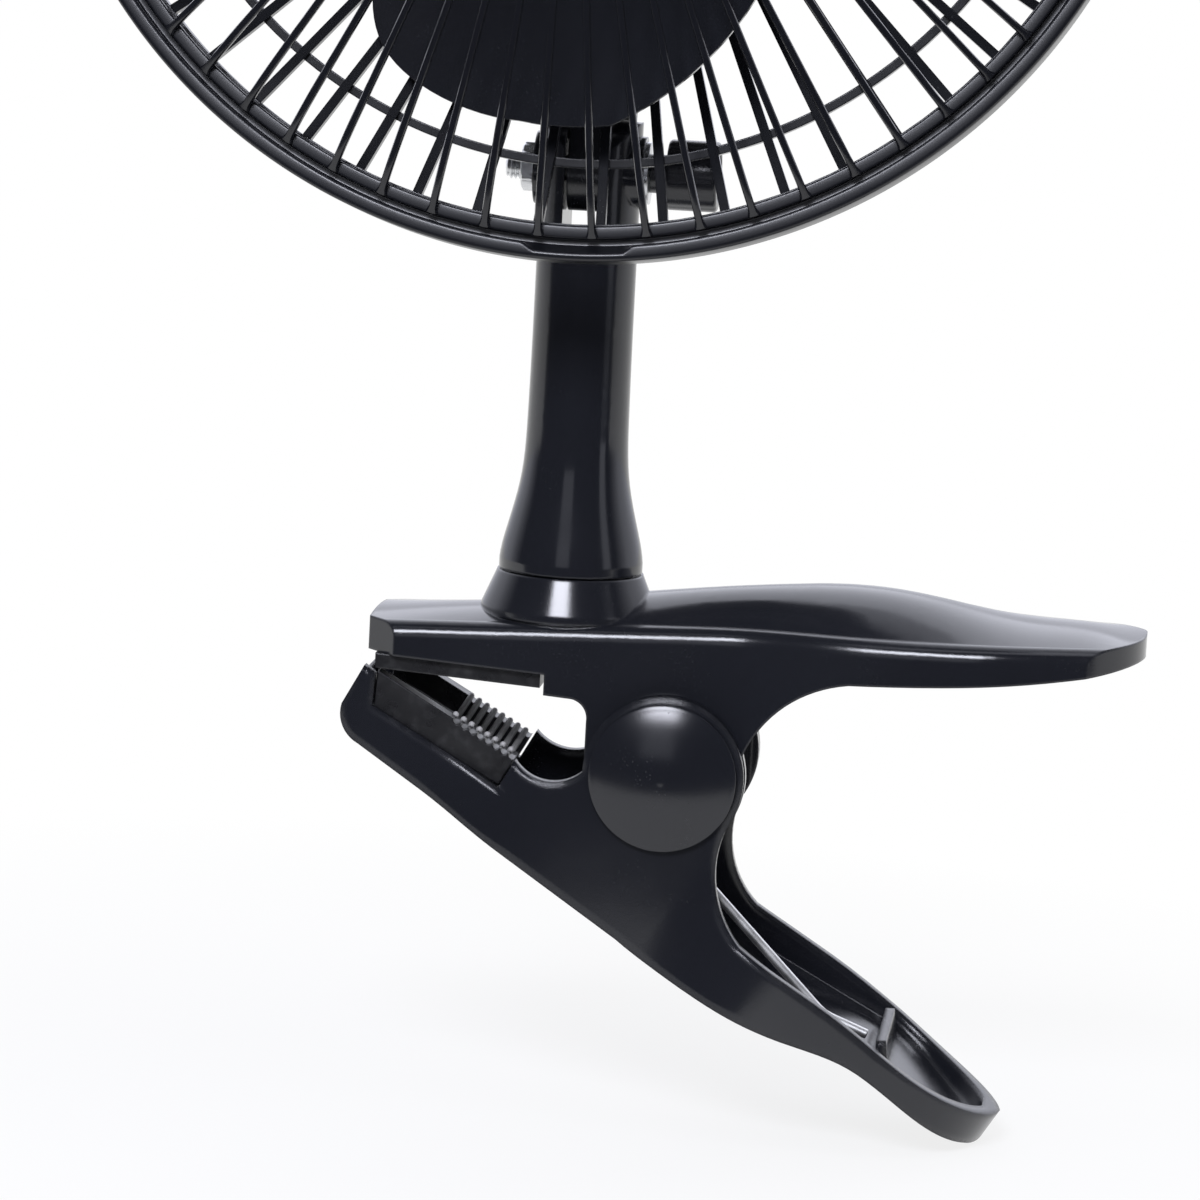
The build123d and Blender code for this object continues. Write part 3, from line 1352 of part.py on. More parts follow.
# ---------------------------------------------------------------- the pieces, one file each
pieces = {
    "upper_arm": upper_arm,
    "upper_jaw_pad": upper_jaw_pad,
    "lower_arm": lower_arm,
    "lower_jaw_pad": lower_jaw_pad,
    "pivot_pin": pivot_pin,
    "pivot_caps": pivot_caps,
    "clip_spring": clip_spring,
    "neck": neck,
    "neck_washer": neck_washer,
    "neck_screw": neck_screw,
    "tilt_bolt": tilt_bolt,
    "tilt_nut": tilt_nut,
    "tilt_washer": tilt_washer,
    "tilt_knob": tilt_knob,
    "front_grille": front_grille,
    "grille_badge": grille_badge,
    "rear_grille": rear_grille,
    "motor_housing": motor_housing,
    "motor_cover": motor_cover,
    "housing_screws": housing_screws,
    "fan_blade": fan_blade,
    "motor_shaft": motor_shaft,
    "rotor_core": rotor_core,
    "thrust_washers": thrust_washers,
    "stator_core": stator_core,
    "coil_bobbin": coil_bobbin,
    "stator_coil": stator_coil,
    "shading_rings": shading_rings,
    "front_bracket": front_bracket,
    "rear_bracket": rear_bracket,
    "front_bearing": front_bearing,
    "rear_bearing": rear_bearing,
    "motor_bolts": motor_bolts,
    "switch_body": switch_body,
    "switch_knob": switch_knob,
    "cord_grommet": cord_grommet,
}
os.makedirs("parts", exist_ok=True)
for name, piece in pieces.items():
    piece.part.label = name
    export_step(piece.part, f"parts/{name}.step")
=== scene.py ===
import json
from math import cos, pi, radians, sin

import bpy
import numpy as np
from mathutils import Matrix, Vector


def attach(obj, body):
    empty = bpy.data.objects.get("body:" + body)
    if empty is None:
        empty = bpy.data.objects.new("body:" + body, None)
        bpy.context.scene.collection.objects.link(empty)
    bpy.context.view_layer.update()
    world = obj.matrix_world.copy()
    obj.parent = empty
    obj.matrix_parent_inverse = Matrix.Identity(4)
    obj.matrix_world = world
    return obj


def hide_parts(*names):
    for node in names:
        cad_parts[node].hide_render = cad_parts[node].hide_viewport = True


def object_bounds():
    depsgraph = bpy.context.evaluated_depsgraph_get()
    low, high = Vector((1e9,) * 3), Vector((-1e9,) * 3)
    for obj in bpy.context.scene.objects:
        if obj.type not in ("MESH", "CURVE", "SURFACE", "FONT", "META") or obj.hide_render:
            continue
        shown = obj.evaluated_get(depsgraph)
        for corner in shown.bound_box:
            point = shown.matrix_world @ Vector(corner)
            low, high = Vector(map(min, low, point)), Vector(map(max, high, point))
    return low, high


# The construction is loaded in metres, in the clip's own frame: X runs along the clip to the
# handles, -Y is the side that the fan faces and Z runs up the neck. Its box is kept for the end.
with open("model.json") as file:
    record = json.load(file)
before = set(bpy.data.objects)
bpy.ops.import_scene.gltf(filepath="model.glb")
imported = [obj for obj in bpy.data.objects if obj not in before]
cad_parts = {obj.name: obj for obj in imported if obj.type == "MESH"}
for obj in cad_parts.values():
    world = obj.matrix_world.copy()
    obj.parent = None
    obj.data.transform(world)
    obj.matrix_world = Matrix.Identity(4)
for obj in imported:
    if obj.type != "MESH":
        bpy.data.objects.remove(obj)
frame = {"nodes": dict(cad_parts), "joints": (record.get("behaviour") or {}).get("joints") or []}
cad_box = [list(corner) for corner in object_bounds()]
nodes = frame["nodes"]
joints = {joint["name"]: joint for joint in frame["joints"]}
MM = 0.001

# The camera stands a metre in front of the fan, a little to its right and above the clip, and
# looks slightly down through a long lens. It is rolled, so the neck leans to the right.
camera_place = Vector((112.544, -916.833, 146.611)) * MM
camera_turn = radians(5.7)
camera_fall = radians(8.3)
camera_roll = radians(3.0)
ahead = Vector((-sin(camera_turn), cos(camera_turn), 0.0))
look = ahead * cos(camera_fall) - Vector((0.0, 0.0, sin(camera_fall)))
level = Vector((cos(camera_turn), sin(camera_turn), 0.0))
upright = level.cross(look)
camera_right = level * cos(camera_roll) + upright * sin(camera_roll)
camera_up = upright * cos(camera_roll) - level * sin(camera_roll)
camera_data = bpy.data.cameras.new("camera")
camera_data.sensor_width = 36.0
camera_data.lens = 172.8
camera = bpy.data.objects.new("camera", camera_data)
camera_axes = Matrix((camera_right, camera_up, -look)).transposed().to_4x4()
camera.matrix_world = Matrix.Translation(camera_place) @ camera_axes
bpy.context.scene.collection.objects.link(camera)
bpy.context.scene.camera = camera


# The upper arm is one injection moulding in glossy black ABS: the jaw, the raised collar that the
# neck turns in, two cheeks about the pivot and the thumb's handle. Handling has left fine scuffs.
def start_material(name):
    """A new material, its node tree, its shader, and the object's own coordinates in metres."""
    material = bpy.data.materials.new(name)
    material.use_nodes = True
    tree = material.node_tree
    shader = tree.nodes["Principled BSDF"]
    place = tree.nodes.new("ShaderNodeTexCoord").outputs["Object"]
    return material, tree, shader, place


def add_node(tree, kind, inputs, **settings):
    """A shader node; each input is a value or the socket that feeds it."""
    node = tree.nodes.new("ShaderNode" + kind)
    for name, value in settings.items():
        setattr(node, name, value)
    for name, value in inputs.items():
        if isinstance(value, bpy.types.NodeSocket):
            tree.links.new(value, node.inputs[name])
        else:
            node.inputs[name].default_value = value
    return node


def noise(tree, place, scale, detail=2.0):
    """Soft noise with scale cells to the metre, from 0 to 1."""
    return add_node(tree, "TexNoise", {"Vector": place, "Scale": scale, "Detail": detail}).outputs["Fac"]


def remap(tree, value, low, high, to_low, to_high):
    """Value carried from one range to another in a straight line, and held at its ends."""
    ranges = {"Value": value, "From Min": low, "From Max": high, "To Min": to_low, "To Max": to_high}
    return add_node(tree, "MapRange", ranges).outputs["Result"]


def maths(tree, operation, first, second):
    """Two numbers added, multiplied or compared."""
    return add_node(tree, "Math", {0: first, 1: second}, operation=operation).outputs[0]


def blend_colours(tree, factor, first, second):
    """The first colour at factor 0 and the second at 1."""
    mixed = add_node(tree, "Mix", {0: factor, 6: first, 7: second}, data_type="RGBA")
    return mixed.outputs[2]


def bump(tree, height, depth, normal, strength=1.0):
    """A normal tilted by a height that stands for depth metres."""
    inputs = {"Height": height, "Distance": depth, "Strength": strength, "Normal": normal}
    return add_node(tree, "Bump", inputs).outputs["Normal"]


def soft_edges(tree, radius):
    """A normal that turns round sharp edges within radius, and how strongly it turns, 0 to 1."""
    rounded = add_node(tree, "Bevel", {"Radius": radius}, samples=6).outputs["Normal"]
    flat = tree.nodes.new("ShaderNodeNewGeometry").outputs["Normal"]
    turned = add_node(tree, "VectorMath", {0: rounded, 1: flat}, operation="DOT_PRODUCT").outputs["Value"]
    return rounded, remap(tree, turned, 0.99, 0.8, 0.0, 1.0)


def hairlines(tree, place, turn, scale):
    """Fine straight scratches: noise drawn out along one direction, only its narrow crests kept."""
    stretch = (scale, scale * 0.02, scale)
    lines = add_node(tree, "Mapping", {"Vector": place, "Rotation": turn, "Scale": stretch})
    crest = noise(tree, lines.outputs["Vector"], 1.0, 1.0)
    patch = remap(tree, noise(tree, place, 70.0), 0.52, 0.66, 0.0, 1.0)
    return maths(tree, "MULTIPLY", remap(tree, crest, 0.70, 0.76, 0.0, 1.0), patch)


def moulded(name, colour, polish, rubbed, edge, wave=0.00012, grain=0.000004, scuff=0.5):
    """Moulded plastic: roughness drifts from polish to rubbed, the mould's slow waves and fine grain
    are in the bump, edges are rounded by a hair and worn paler, and hairlines cross the face."""
    material, tree, shader, place = start_material(name)
    normal, worn = soft_edges(tree, edge)
    drift = remap(tree, noise(tree, place, 42.0, 3.0), 0.35, 0.7, polish, rubbed)
    lines = maths(
        tree,
        "MAXIMUM",
        hairlines(tree, place, (0.3, 0.5, 0.9), 2600.0),
        hairlines(tree, place, (0.9, -0.4, 2.1), 2200.0),
    )
    worn = maths(tree, "MULTIPLY", worn, remap(tree, noise(tree, place, 240.0), 0.42, 0.62, 0.0, 1.0))
    marks = maths(tree, "MULTIPLY", maths(tree, "MAXIMUM", worn, lines), scuff)
    rough = maths(tree, "ADD", drift, maths(tree, "MULTIPLY", marks, 0.22))
    tree.links.new(rough, shader.inputs["Roughness"])
    pale = tuple(0.75 * value + 0.025 for value in colour)
    face = blend_colours(tree, remap(tree, noise(tree, place, 25.0), 0.3, 0.7, 0.0, 1.0), (*colour, 1.0),
                         (*(value * 1.25 for value in colour), 1.0))
    tree.links.new(blend_colours(tree, marks, face, (*pale, 1.0)), shader.inputs["Base Color"])
    normal = bump(tree, noise(tree, place, 30.0), wave, normal)
    normal = bump(tree, noise(tree, place, 3800.0, 1.0), grain, normal)
    tree.links.new(normal, shader.inputs["Normal"])
    shader.inputs["IOR"].default_value = 1.54
    return material


def dress(material, *names):
    """Gives construction pieces their finish."""
    for name in names:
        nodes[name].data.materials.clear()
        nodes[name].data.materials.append(material)


BLACK = (0.0098, 0.0105, 0.0135)
arm_plastic = moulded("arm_plastic", BLACK, polish=0.1, rubbed=0.2, edge=0.0006)
dress(arm_plastic, "upper_arm")

# The upper jaw pad is a slab of firm black rubber, pressed into the jaw by two pegs. Its face is
# matt, with the grain of its mould and a little dust.
def rubber(name, colour, roughness, dust):
    """Matt moulded rubber: mottled grain in the bump, pale dust where the noise is high."""
    material, tree, shader, place = start_material(name)
    normal, worn = soft_edges(tree, 0.0004)
    speck = remap(tree, noise(tree, place, 520.0, 4.0), 0.5, 0.75, 0.0, dust)
    pale = tuple(value + 0.09 for value in colour)
    tree.links.new(blend_colours(tree, speck, (*colour, 1.0), (*pale, 1.0)), shader.inputs["Base Color"])
    spread = remap(tree, noise(tree, place, 150.0), 0.3, 0.7, roughness - 0.08, roughness + 0.1)
    rough = maths(tree, "ADD", spread, maths(tree, "MULTIPLY", worn, -0.08))
    tree.links.new(rough, shader.inputs["Roughness"])
    normal = bump(tree, noise(tree, place, 1700.0, 3.0), 0.00002, normal)
    tree.links.new(normal, shader.inputs["Normal"])
    shader.inputs["IOR"].default_value = 1.5
    return material


pad_rubber = rubber("pad_rubber", (0.013, 0.013, 0.014), roughness=0.3, dust=0.16)
dress(pad_rubber, "upper_jaw_pad")

# The lower arm is the second black moulding, an open trough from the nose to the finger's handle.
# Two ribs and a stop on its floor hold the spring's foot.
lower_plastic = moulded("lower_plastic", BLACK, polish=0.12, rubbed=0.22, edge=0.0019)
dress(lower_plastic, "lower_arm")

# The lower jaw pad is rubber too. A valley along it takes round rails, and a row of small round
# teeth stands on both flanks of the valley, moulded with the pad.
pad_slope = radians(29.0)
pad_corner = np.array([-12.8, 0.0, 0.3])
pad_along = np.array([cos(pad_slope), 0.0, -sin(pad_slope)])
pad_out = np.array([sin(pad_slope), 0.0, cos(pad_slope)])
tooth_count = 8
tooth_start = 14.25
tooth_pitch = 1.5
tooth_radius = 0.52
tooth_top = (9.7, 0.12)  # across the pad, and above its top
tooth_foot = (5.9, -3.05)


def surface(name, rings, looped=False):
    """A closed mesh from rings of points, shaped (copies, rings, points round a ring, 3) in mm.
    Each ring is joined to the next by quads. The end rings are closed by fans to their middles,
    unless the rings loop back to the first."""
    rings = np.asarray(rings, float)
    if rings.ndim == 3:
        rings = rings[None]
    copies, count, round_count, _ = rings.shape
    index = np.arange(count * round_count).reshape(count, round_count)
    nearer = index if looped else index[:-1]
    further = np.roll(index, -1, axis=0) if looped else index[1:]
    quads = np.stack([nearer, np.roll(nearer, -1, 1), np.roll(further, -1, 1), further], -1).reshape(-1, 4)
    points = rings.reshape(copies, -1, 3)
    fans = np.empty((0, 3), int)
    if not looped:
        points = np.concatenate([points, rings[:, [0, -1]].mean(axis=2)], axis=1)
        first, last = index[0], index[-1]
        first_middle = np.full(round_count, count * round_count)
        first_fan = np.stack([first_middle, np.roll(first, -1), first], -1)
        last_fan = np.stack([first_middle + 1, last, np.roll(last, -1)], -1)
        fans = np.concatenate([first_fan, last_fan])
    shift = points.shape[1] * np.arange(copies)[:, None, None]
    faces = (quads + shift).reshape(-1, 4).tolist() + (fans + shift).reshape(-1, 3).tolist()
    mesh = bpy.data.meshes.new(name)
    mesh.from_pydata((points.reshape(-1, 3) * MM).tolist(), [], faces)
    mesh.update()
    volume = sum(polygon.center.dot(polygon.normal) * polygon.area for polygon in mesh.polygons)
    if volume < 0:
        mesh.flip_normals()
    mesh.shade_smooth()
    mesh.set_sharp_from_angle(angle=radians(38))
    piece = bpy.data.objects.new(name, mesh)
    bpy.context.scene.collection.objects.link(piece)
    return piece


def fit(piece, material, body, slot, *stands_for):
    """Finishes a new piece: its material, its body and the nodes that it stands for. The slot is not used."""
    piece.data.materials.append(material)
    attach(piece, body)
    if stands_for:
        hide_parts(*stands_for)
    return piece


def capsule(start, end, radius, ring_count=5, round_count=10):
    """Rings of a round rod with round ends: circles square to the rod whose radius follows a
    quarter circle at both ends."""
    start, end = np.asarray(start, float), np.asarray(end, float)
    axis = (end - start) / np.linalg.norm(end - start)
    across = np.cross(axis, [0.0, 0.0, 1.0] if abs(axis[2]) < 0.9 else [1.0, 0.0, 0.0])
    across /= np.linalg.norm(across)
    other = np.cross(axis, across)
    turn = np.linspace(0.08, 1.0, ring_count) * pi / 2
    length = np.linalg.norm(end - start)
    reach = np.concatenate([-np.cos(turn) * radius, length + np.cos(turn[::-1]) * radius])
    wide = np.concatenate([np.sin(turn), np.sin(turn[::-1])]) * radius
    angle = np.linspace(0, 2 * pi, round_count, endpoint=False)
    circle = np.cos(angle)[:, None] * across + np.sin(angle)[:, None] * other
    return start + reach[:, None, None] * axis + wide[:, None, None] * circle


def pad_place(along, across, out):
    """A point of the lower pad: along its ridged top, across it, and above it."""
    return pad_corner + pad_along * along + pad_out * out + np.array([0.0, across, 0.0])


teeth = []
for side in (-1, 1):
    for tooth in range(tooth_count):
        along = tooth_start + tooth * tooth_pitch
        top = pad_place(along, side * tooth_top[0], tooth_top[1])
        foot = pad_place(along, side * tooth_foot[0], tooth_foot[1])
        teeth.append(capsule(top, foot, tooth_radius))
dress(pad_rubber, "lower_jaw_pad")
# The teeth are the pad's black rubber. Their light grey colour is a painted highlight for the light that
# their round crests catch.
tooth_painted_highlight = rubber("tooth_painted_highlight", (0.46, 0.455, 0.445), roughness=0.34, dust=0.2)
fit(surface("jaw_teeth", teeth), tooth_painted_highlight, "lower_arm", "black_pad")

# The pivot pin is a plain turned steel pin, zinc plated. Its ends sit in the two caps.
def metal(name, colour, polish, rubbed, haze=0.15, lines=None):
    """Bare or plated metal: the colour clouds towards a darker haze, the roughness drifts, and
    lines gives the stretch of fine drawing marks, if there are any."""
    material, tree, shader, place = start_material(name)
    shader.inputs["Metallic"].default_value = 1.0
    normal, worn = soft_edges(tree, 0.00025)
    cloud = remap(tree, noise(tree, place, 180.0, 3.0), 0.4, 0.7, 0.0, haze * 2)
    dark = tuple(value * 0.6 for value in colour)
    tree.links.new(blend_colours(tree, cloud, (*colour, 1.0), (*dark, 1.0)), shader.inputs["Base Color"])
    spread = remap(tree, noise(tree, place, 260.0), 0.35, 0.7, polish, rubbed)
    rough = maths(tree, "ADD", spread, maths(tree, "MULTIPLY", worn, 0.06))
    tree.links.new(rough, shader.inputs["Roughness"])
    marks = place
    if lines:
        marks = add_node(tree, "Mapping", {"Vector": place, "Scale": lines}).outputs["Vector"]
    normal = bump(tree, noise(tree, marks, 900.0, 3.0), 0.000006, normal)
    tree.links.new(normal, shader.inputs["Normal"])
    return material


zinc = metal("zinc_plate", (0.70, 0.71, 0.72), polish=0.2, rubbed=0.36)
dress(zinc, "pivot_pin")

# Two domed caps close the pin's ends. They are moulded in the same black plastic, with a small
# pip in the middle where the plastic ran in and a fine bead round the rim.
pivot = np.array(joints["clip_squeeze"]["pos_m"]) / MM
ear_y = 17.0
pin_radius = 3.0
pin_end = 1.6
cap_radius = 11.8
cap_rim = 1.1
cap_height = 3.6
cap_edge = (0.12, 0.15)  # the back edge's chamfer, along the pin and on the radius
groove = 0.25  # between the rim and the dome
pip_height = 0.1
pip_width = 0.45
bead_height = 0.06
bead_place = 0.965  # as a share of the cap's radius, like the bead's width
bead_width = 0.012
closing_radius = 0.3  # the last ring in a turned piece, closed by a fan of faces


def lathe(centre, axis, across, stations, radii):
    """Rings of a turned piece: circles about the axis, each at its station and radius in mm. A
    radius may be a row of values, one for each angle."""
    axis, across = np.asarray(axis, float), np.asarray(across, float)
    other = np.cross(axis, across)
    radii = np.atleast_2d(np.asarray(radii, float).T).T
    count = radii.shape[1] if radii.shape[1] > 1 else 72
    angle = np.linspace(0, 2 * pi, count, endpoint=False)
    circle = np.cos(angle)[:, None] * across + np.sin(angle)[:, None] * other
    places = np.asarray(centre, float) + np.asarray(stations, float)[:, None] * axis
    return places[:, None, :] + radii[:, :, None] * circle[None]


def cap_rings(side):
    """A cap's rings: the pin's socket, the flat back, the rim, and a dome that is part of a ball."""
    share = np.linspace(1.0, 0.03, 40)
    ball = (cap_radius**2 + (cap_height - cap_rim) ** 2) / (2 * (cap_height - cap_rim))
    drop = ball - np.sqrt(ball**2 - (cap_radius * share) ** 2)
    pip = pip_height * np.exp(-((cap_radius * share / pip_width) ** 2))
    bead = bead_height * np.exp(-(((share - bead_place) / bead_width) ** 2))
    dome = cap_height - drop + pip + bead
    stations = np.concatenate([[pin_end, pin_end, 0.0, 0.0, cap_edge[0], cap_rim - groove], dome])
    inner = [closing_radius, pin_radius, pin_radius, cap_radius - cap_edge[1], cap_radius, cap_radius]
    radii = np.concatenate([inner, cap_radius * share])
    return lathe(pivot + [0, side * ear_y, 0], (0, side, 0), (1, 0, 0), stations, radii)


cap_plastic = moulded("cap_plastic", (0.0085, 0.0092, 0.0122), polish=0.16, rubbed=0.26, edge=0.0003,
                      scuff=0.9)
caps = surface("cap_pair", [cap_rings(-1), cap_rings(1)])
fit(caps, cap_plastic, "lower_arm", "black_gloss", "pivot_caps")

# The clip's spring is drawn steel wire, coiled round the pin, with a leg under each handle. The
# upper leg stays with the upper arm and the rest turns with the lower arm, so the wire is in two
# pieces, which run one in the other along the coil's last part.
wire_radius = 0.8
coil_radius = 8.0
coil_turns = 5
coil_pitch = 2.4
foot_bend = (61.3, -51.9)
foot_end = (68.6, -54.7)
head_end = (62.0, 12.2)
foot_round = 1.2
wire_tip = 0.75  # the wire's ends, as a share of its radius
squeeze_range = radians(35.0)
coil_overlap = radians(8.0)


def touch_angle(point, side):
    """Where a straight wire to the point leaves the coil: the point's own angle about the pin,
    turned by the arc cosine of the coil's radius over the point's distance."""
    across, up = point[0] - pivot[0], point[1] - pivot[2]
    return np.arctan2(up, across) + side * np.arccos(coil_radius / np.hypot(across, up))


def coil_points(angles):
    """Middle of the wire at angles that fall clockwise, and evenly away from the near side."""
    across = pivot[0] + coil_radius * np.cos(angles)
    along = coil_pitch * ((coil_start - angles) - coil_sweep / 2) / (2 * pi)
    up = pivot[2] + coil_radius * np.sin(angles)
    return np.stack([across, along, up], axis=-1)


def wire_rings(line, radius):
    """Circles square to the line of a bent wire, a little smaller at its two ends."""
    way = np.gradient(line, axis=0)
    way /= np.linalg.norm(way, axis=1, keepdims=True)
    side = np.array([0.0, 1.0, 0.0]) - way[:, 1:2] * way
    side /= np.linalg.norm(side, axis=1, keepdims=True)
    other = np.cross(way, side)
    turn = np.linspace(0, 2 * pi, 14, endpoint=False)[None, :, None]
    radii = np.full(len(line), radius)
    radii[[0, -1]] *= wire_tip
    circles = np.cos(turn) * side[:, None] + np.sin(turn) * other[:, None]
    return line[:, None] + radii[:, None, None] * circles


coil_start = touch_angle(foot_bend, -1)
coil_end = touch_angle(head_end, 1)
coil_sweep = 2 * pi * coil_turns + (coil_start - coil_end) % (2 * pi)
last_angle = coil_start - coil_sweep
coil_line = coil_points(np.linspace(coil_start, last_angle + coil_overlap / 2, 300))
coil_near = coil_line[0]
foot, bend = (np.array([x, coil_near[1], z]) for x, z in (foot_end, foot_bend))
bend_in = bend + (foot - bend) / np.linalg.norm(foot - bend) * foot_round
bend_out = bend + (coil_near - bend) / np.linalg.norm(coil_near - bend) * foot_round
bend_middle = bend_in * 0.25 + bend * 0.5 + bend_out * 0.25
foot_line = [foot, foot * 0.98 + bend * 0.02, bend_in, bend_middle]
lower_leg = bend_out + (coil_near - bend_out) * np.linspace(0, 1, 8, endpoint=False)[:, None]
lower_line = np.concatenate([foot_line, lower_leg, coil_line])
upper_coil = coil_points(np.linspace(last_angle + squeeze_range + 1.5 * coil_overlap, last_angle, 40))
coil_far = upper_coil[-1]
head = np.array([head_end[0], coil_far[1], head_end[1]])
upper_leg = coil_far + (head - coil_far) * np.array([0.05, 0.5, 0.99, 1.0])[:, None]
upper_line = np.concatenate([upper_coil, upper_leg])
spring_steel = metal("spring_steel", (0.88, 0.88, 0.87), polish=0.4, rubbed=0.54, haze=0.12)
lower_spring = surface("spring_coil", wire_rings(lower_line, wire_radius))
fit(lower_spring, spring_steel, "lower_arm", "spring_wire", "clip_spring")
fit(surface("spring_leg", wire_rings(upper_line, wire_radius - 0.01)), spring_steel, "clip", "spring_wire")

# The neck is a tall black moulding that turns in the collar: a flared foot, a round column and a
# fork for the head. A washer and a screw under the arm hold it down.
neck_plastic = moulded("neck_plastic", BLACK, polish=0.09, rubbed=0.18, edge=0.0005, wave=0.0001)
dress(neck_plastic, "neck")
dress(zinc, "neck_washer", "neck_screw")

# The tilt joint is drawn together by a bolt with a rolled thread. A thin hexagon nut holds it on
# the left of the fork, where a few turns of the thread stand out.
bolt_place = np.array(joints["head_tilt"]["pos_m"]) / MM
bolt_radius = 2.1
thread_end = -13.6
thread_length = 9.0
thread_pitch = 0.7
thread_depth = 0.34
thread_fade = 0.8
bolt_chamfer = 0.55
bolt_end = 18.4
ear_x = 8.8
nut_thickness = 2.2
nut_flats = 7.0
nut_face = 0.96  # the cone's width at both faces, as a share of the flats
nut_cone = 1.8  # how fast the cone widens from a face
nut_clearance = 0.05


def thread_rings():
    """The bolt's rings: the radius falls and rises once a pitch along the bolt, as a triangle wave
    with flat crests and roots. The wave is shifted once round for each turn, and fades into the
    plain shank and the chamfered end."""
    near = np.arange(thread_end, thread_end + thread_length, thread_pitch / 8)
    stations = np.concatenate([near, [bolt_end - 0.4, bolt_end]])
    angle = np.linspace(0, 1, 32, endpoint=False)
    phase = (stations[:, None] / thread_pitch + angle[None]) % 1.0
    valley = thread_depth * np.clip(1.6 * np.abs(2 * phase - 1) - 0.3, 0, 1)
    fade = np.clip((thread_end + thread_length - thread_fade - stations) / thread_fade, 0, 1)
    chamfer = np.clip(thread_end + bolt_chamfer - stations, 0, 1)
    radii = bolt_radius - valley * fade[:, None] - chamfer[:, None]
    return lathe(bolt_place, (1, 0, 0), (0, 1, 0), stations, radii)


def nut_rings():
    """The nut's rings, looped through its hole: a hexagon's radius, cut by a cone at both faces."""
    angle = np.linspace(0, 2 * pi, 96, endpoint=False)
    hexagon = nut_flats / 2 / np.cos((angle + pi / 6) % (pi / 3) - pi / 6)
    rise = np.array([0.0, 0.0, 0.12, 0.3])
    levels = np.concatenate([rise, nut_thickness - rise[::-1]])
    from_face = np.minimum(levels, nut_thickness - levels)
    outer = np.minimum(hexagon[None], nut_flats / 2 * nut_face + from_face[:, None] * nut_cone)
    hole = np.full((1, len(angle)), bolt_radius + nut_clearance)
    radii = np.concatenate([hole, outer, hole])
    levels = np.concatenate([levels[:1], levels, levels[-1:]])
    return lathe(bolt_place - [ear_x, 0, 0], (-1, 0, 0), (0, 1, 0), levels, radii)


fit(surface("thread_bolt", thread_rings()), zinc, "tilt_knob", "zinc_steel", "tilt_bolt")
fit(surface("hexagon_nut", nut_rings(), looped=True), zinc, "neck", "zinc_steel", "tilt_nut")
dress(zinc, "tilt_washer")

# The tilt joint's hand knob is small and round, in black plastic moulded on the bolt's end, with
# twelve shallow flutes for the fingers and a dished end.
knob_stem = 9.7
knob_start = 12.4
knob_end = 20.6
knob_radius = 5.65
stem_radius = 3.1
knob_flutes = 12
flute_depth = 0.08
knob_rounding = 0.6
dish_depth = 0.25
dish_radii = (0.72, 0.68)  # of its edge and its floor, as shares of the knob's radius


def grip_rings():
    """The knob's rings: the bolt's socket, the stem, a grip whose rims are quarter rounds, and the
    dish. Each flute is a dip in the grip's radius: a cosine's crest to the power 1.5."""
    before = np.array([(bolt_end, closing_radius), (bolt_end, bolt_radius), (knob_stem, bolt_radius),
                       (knob_stem, stem_radius), (knob_start, stem_radius)])
    dish_floor = knob_end - dish_depth
    after = np.array([(knob_end, knob_radius * dish_radii[0]), (dish_floor, knob_radius * dish_radii[1]),
                      (dish_floor, 0.4)])
    turn = np.linspace(0.0, 1.0, 6) * pi / 2
    from_rim = knob_rounding * (1 - np.sin(turn))
    from_side = knob_rounding * (1 - np.cos(turn))
    stations = np.concatenate([before[:, 0], knob_start + from_side, knob_end - from_rim, after[:, 0]])
    angle = np.linspace(0, 2 * pi, knob_flutes * 10, endpoint=False)
    dip = flute_depth * np.clip(np.cos(angle * knob_flutes), 0, 1) ** 1.5
    grip = knob_radius - np.concatenate([from_rim, from_side])[:, None] - dip[None]
    plain = np.ones((1, len(angle)))
    radii = np.concatenate([before[:, 1:] * plain, grip, after[:, 1:] * plain])
    return lathe(bolt_place, (1, 0, 0), (0, 1, 0), stations, radii)


knob_plastic = moulded("knob_plastic", (0.0112, 0.0118, 0.0148), polish=0.2, rubbed=0.3, edge=0.0003)
fit(surface("tilt_grip", grip_rings()), knob_plastic, "tilt_knob", "black_gloss", "tilt_knob")

# The front half of the guard is one black moulding: 64 slim ribs run from the badge's cup, bend
# down and end on a ring with a small round nub each. A dark channel parts the ring from the rounded
# lip, whose inner edge has a shallow notch at the bottom.
fan_forward = np.array(joints["fan_spin"]["axis"])
fan_upward = np.array([0.0, fan_forward[2], -fan_forward[1]])
fan_right = np.array([1.0, 0.0, 0.0])
fan_centre = np.array(joints["fan_spin"]["pos_m"]) / MM
head_lean = radians(8.0)
rim_radius = 89.94
lip_front = 2.8
lip_width = 2.4
lip_round = 0.5
skirt_back = -6.0
skirt_wall = 2.0
ring_outer = 86.4
ring_inner = 84.4
ring_front = 1.6
ring_back = -1.0
channel_front = 0.2
rim_rounds = (0.3, 0.35, 0.35, 0.3, 0.3, lip_round, 0.8, 0.8, 0.4, 0.3)  # at the section's corners
notch_middle = radians(271.4)
notch_half = 8.0
notch_depth = 1.05
notch_ramp = 1.6
rib_count = 64
rib_angles = radians(270.0) + 2 * pi * (np.arange(rib_count) + 0.5) / rib_count
rib_start = (21.6, 27.4)  # from the fan's axis, and forward of the rim
rib_bend = (81.0, 5.0)
rib_foot = (86.0, 1.6)
rib_round = 5.0
rib_half_width = 0.6
rib_half_depth = 0.78
rib_square = 0.7  # 1 gives an oval section and 0 a rectangle
foot_widening = 0.7
foot_reach = 1.6
nub_turn = radians(-0.2)
nub_ring = 85.9
nub_radius = 0.46
nub_lift = 0.4
cup_outer = 22.0
cup_inner = 20.0
cup_front = 28.2
cup_floor = (24.2, 26.0)
cup_edge = (0.3, 0.08)


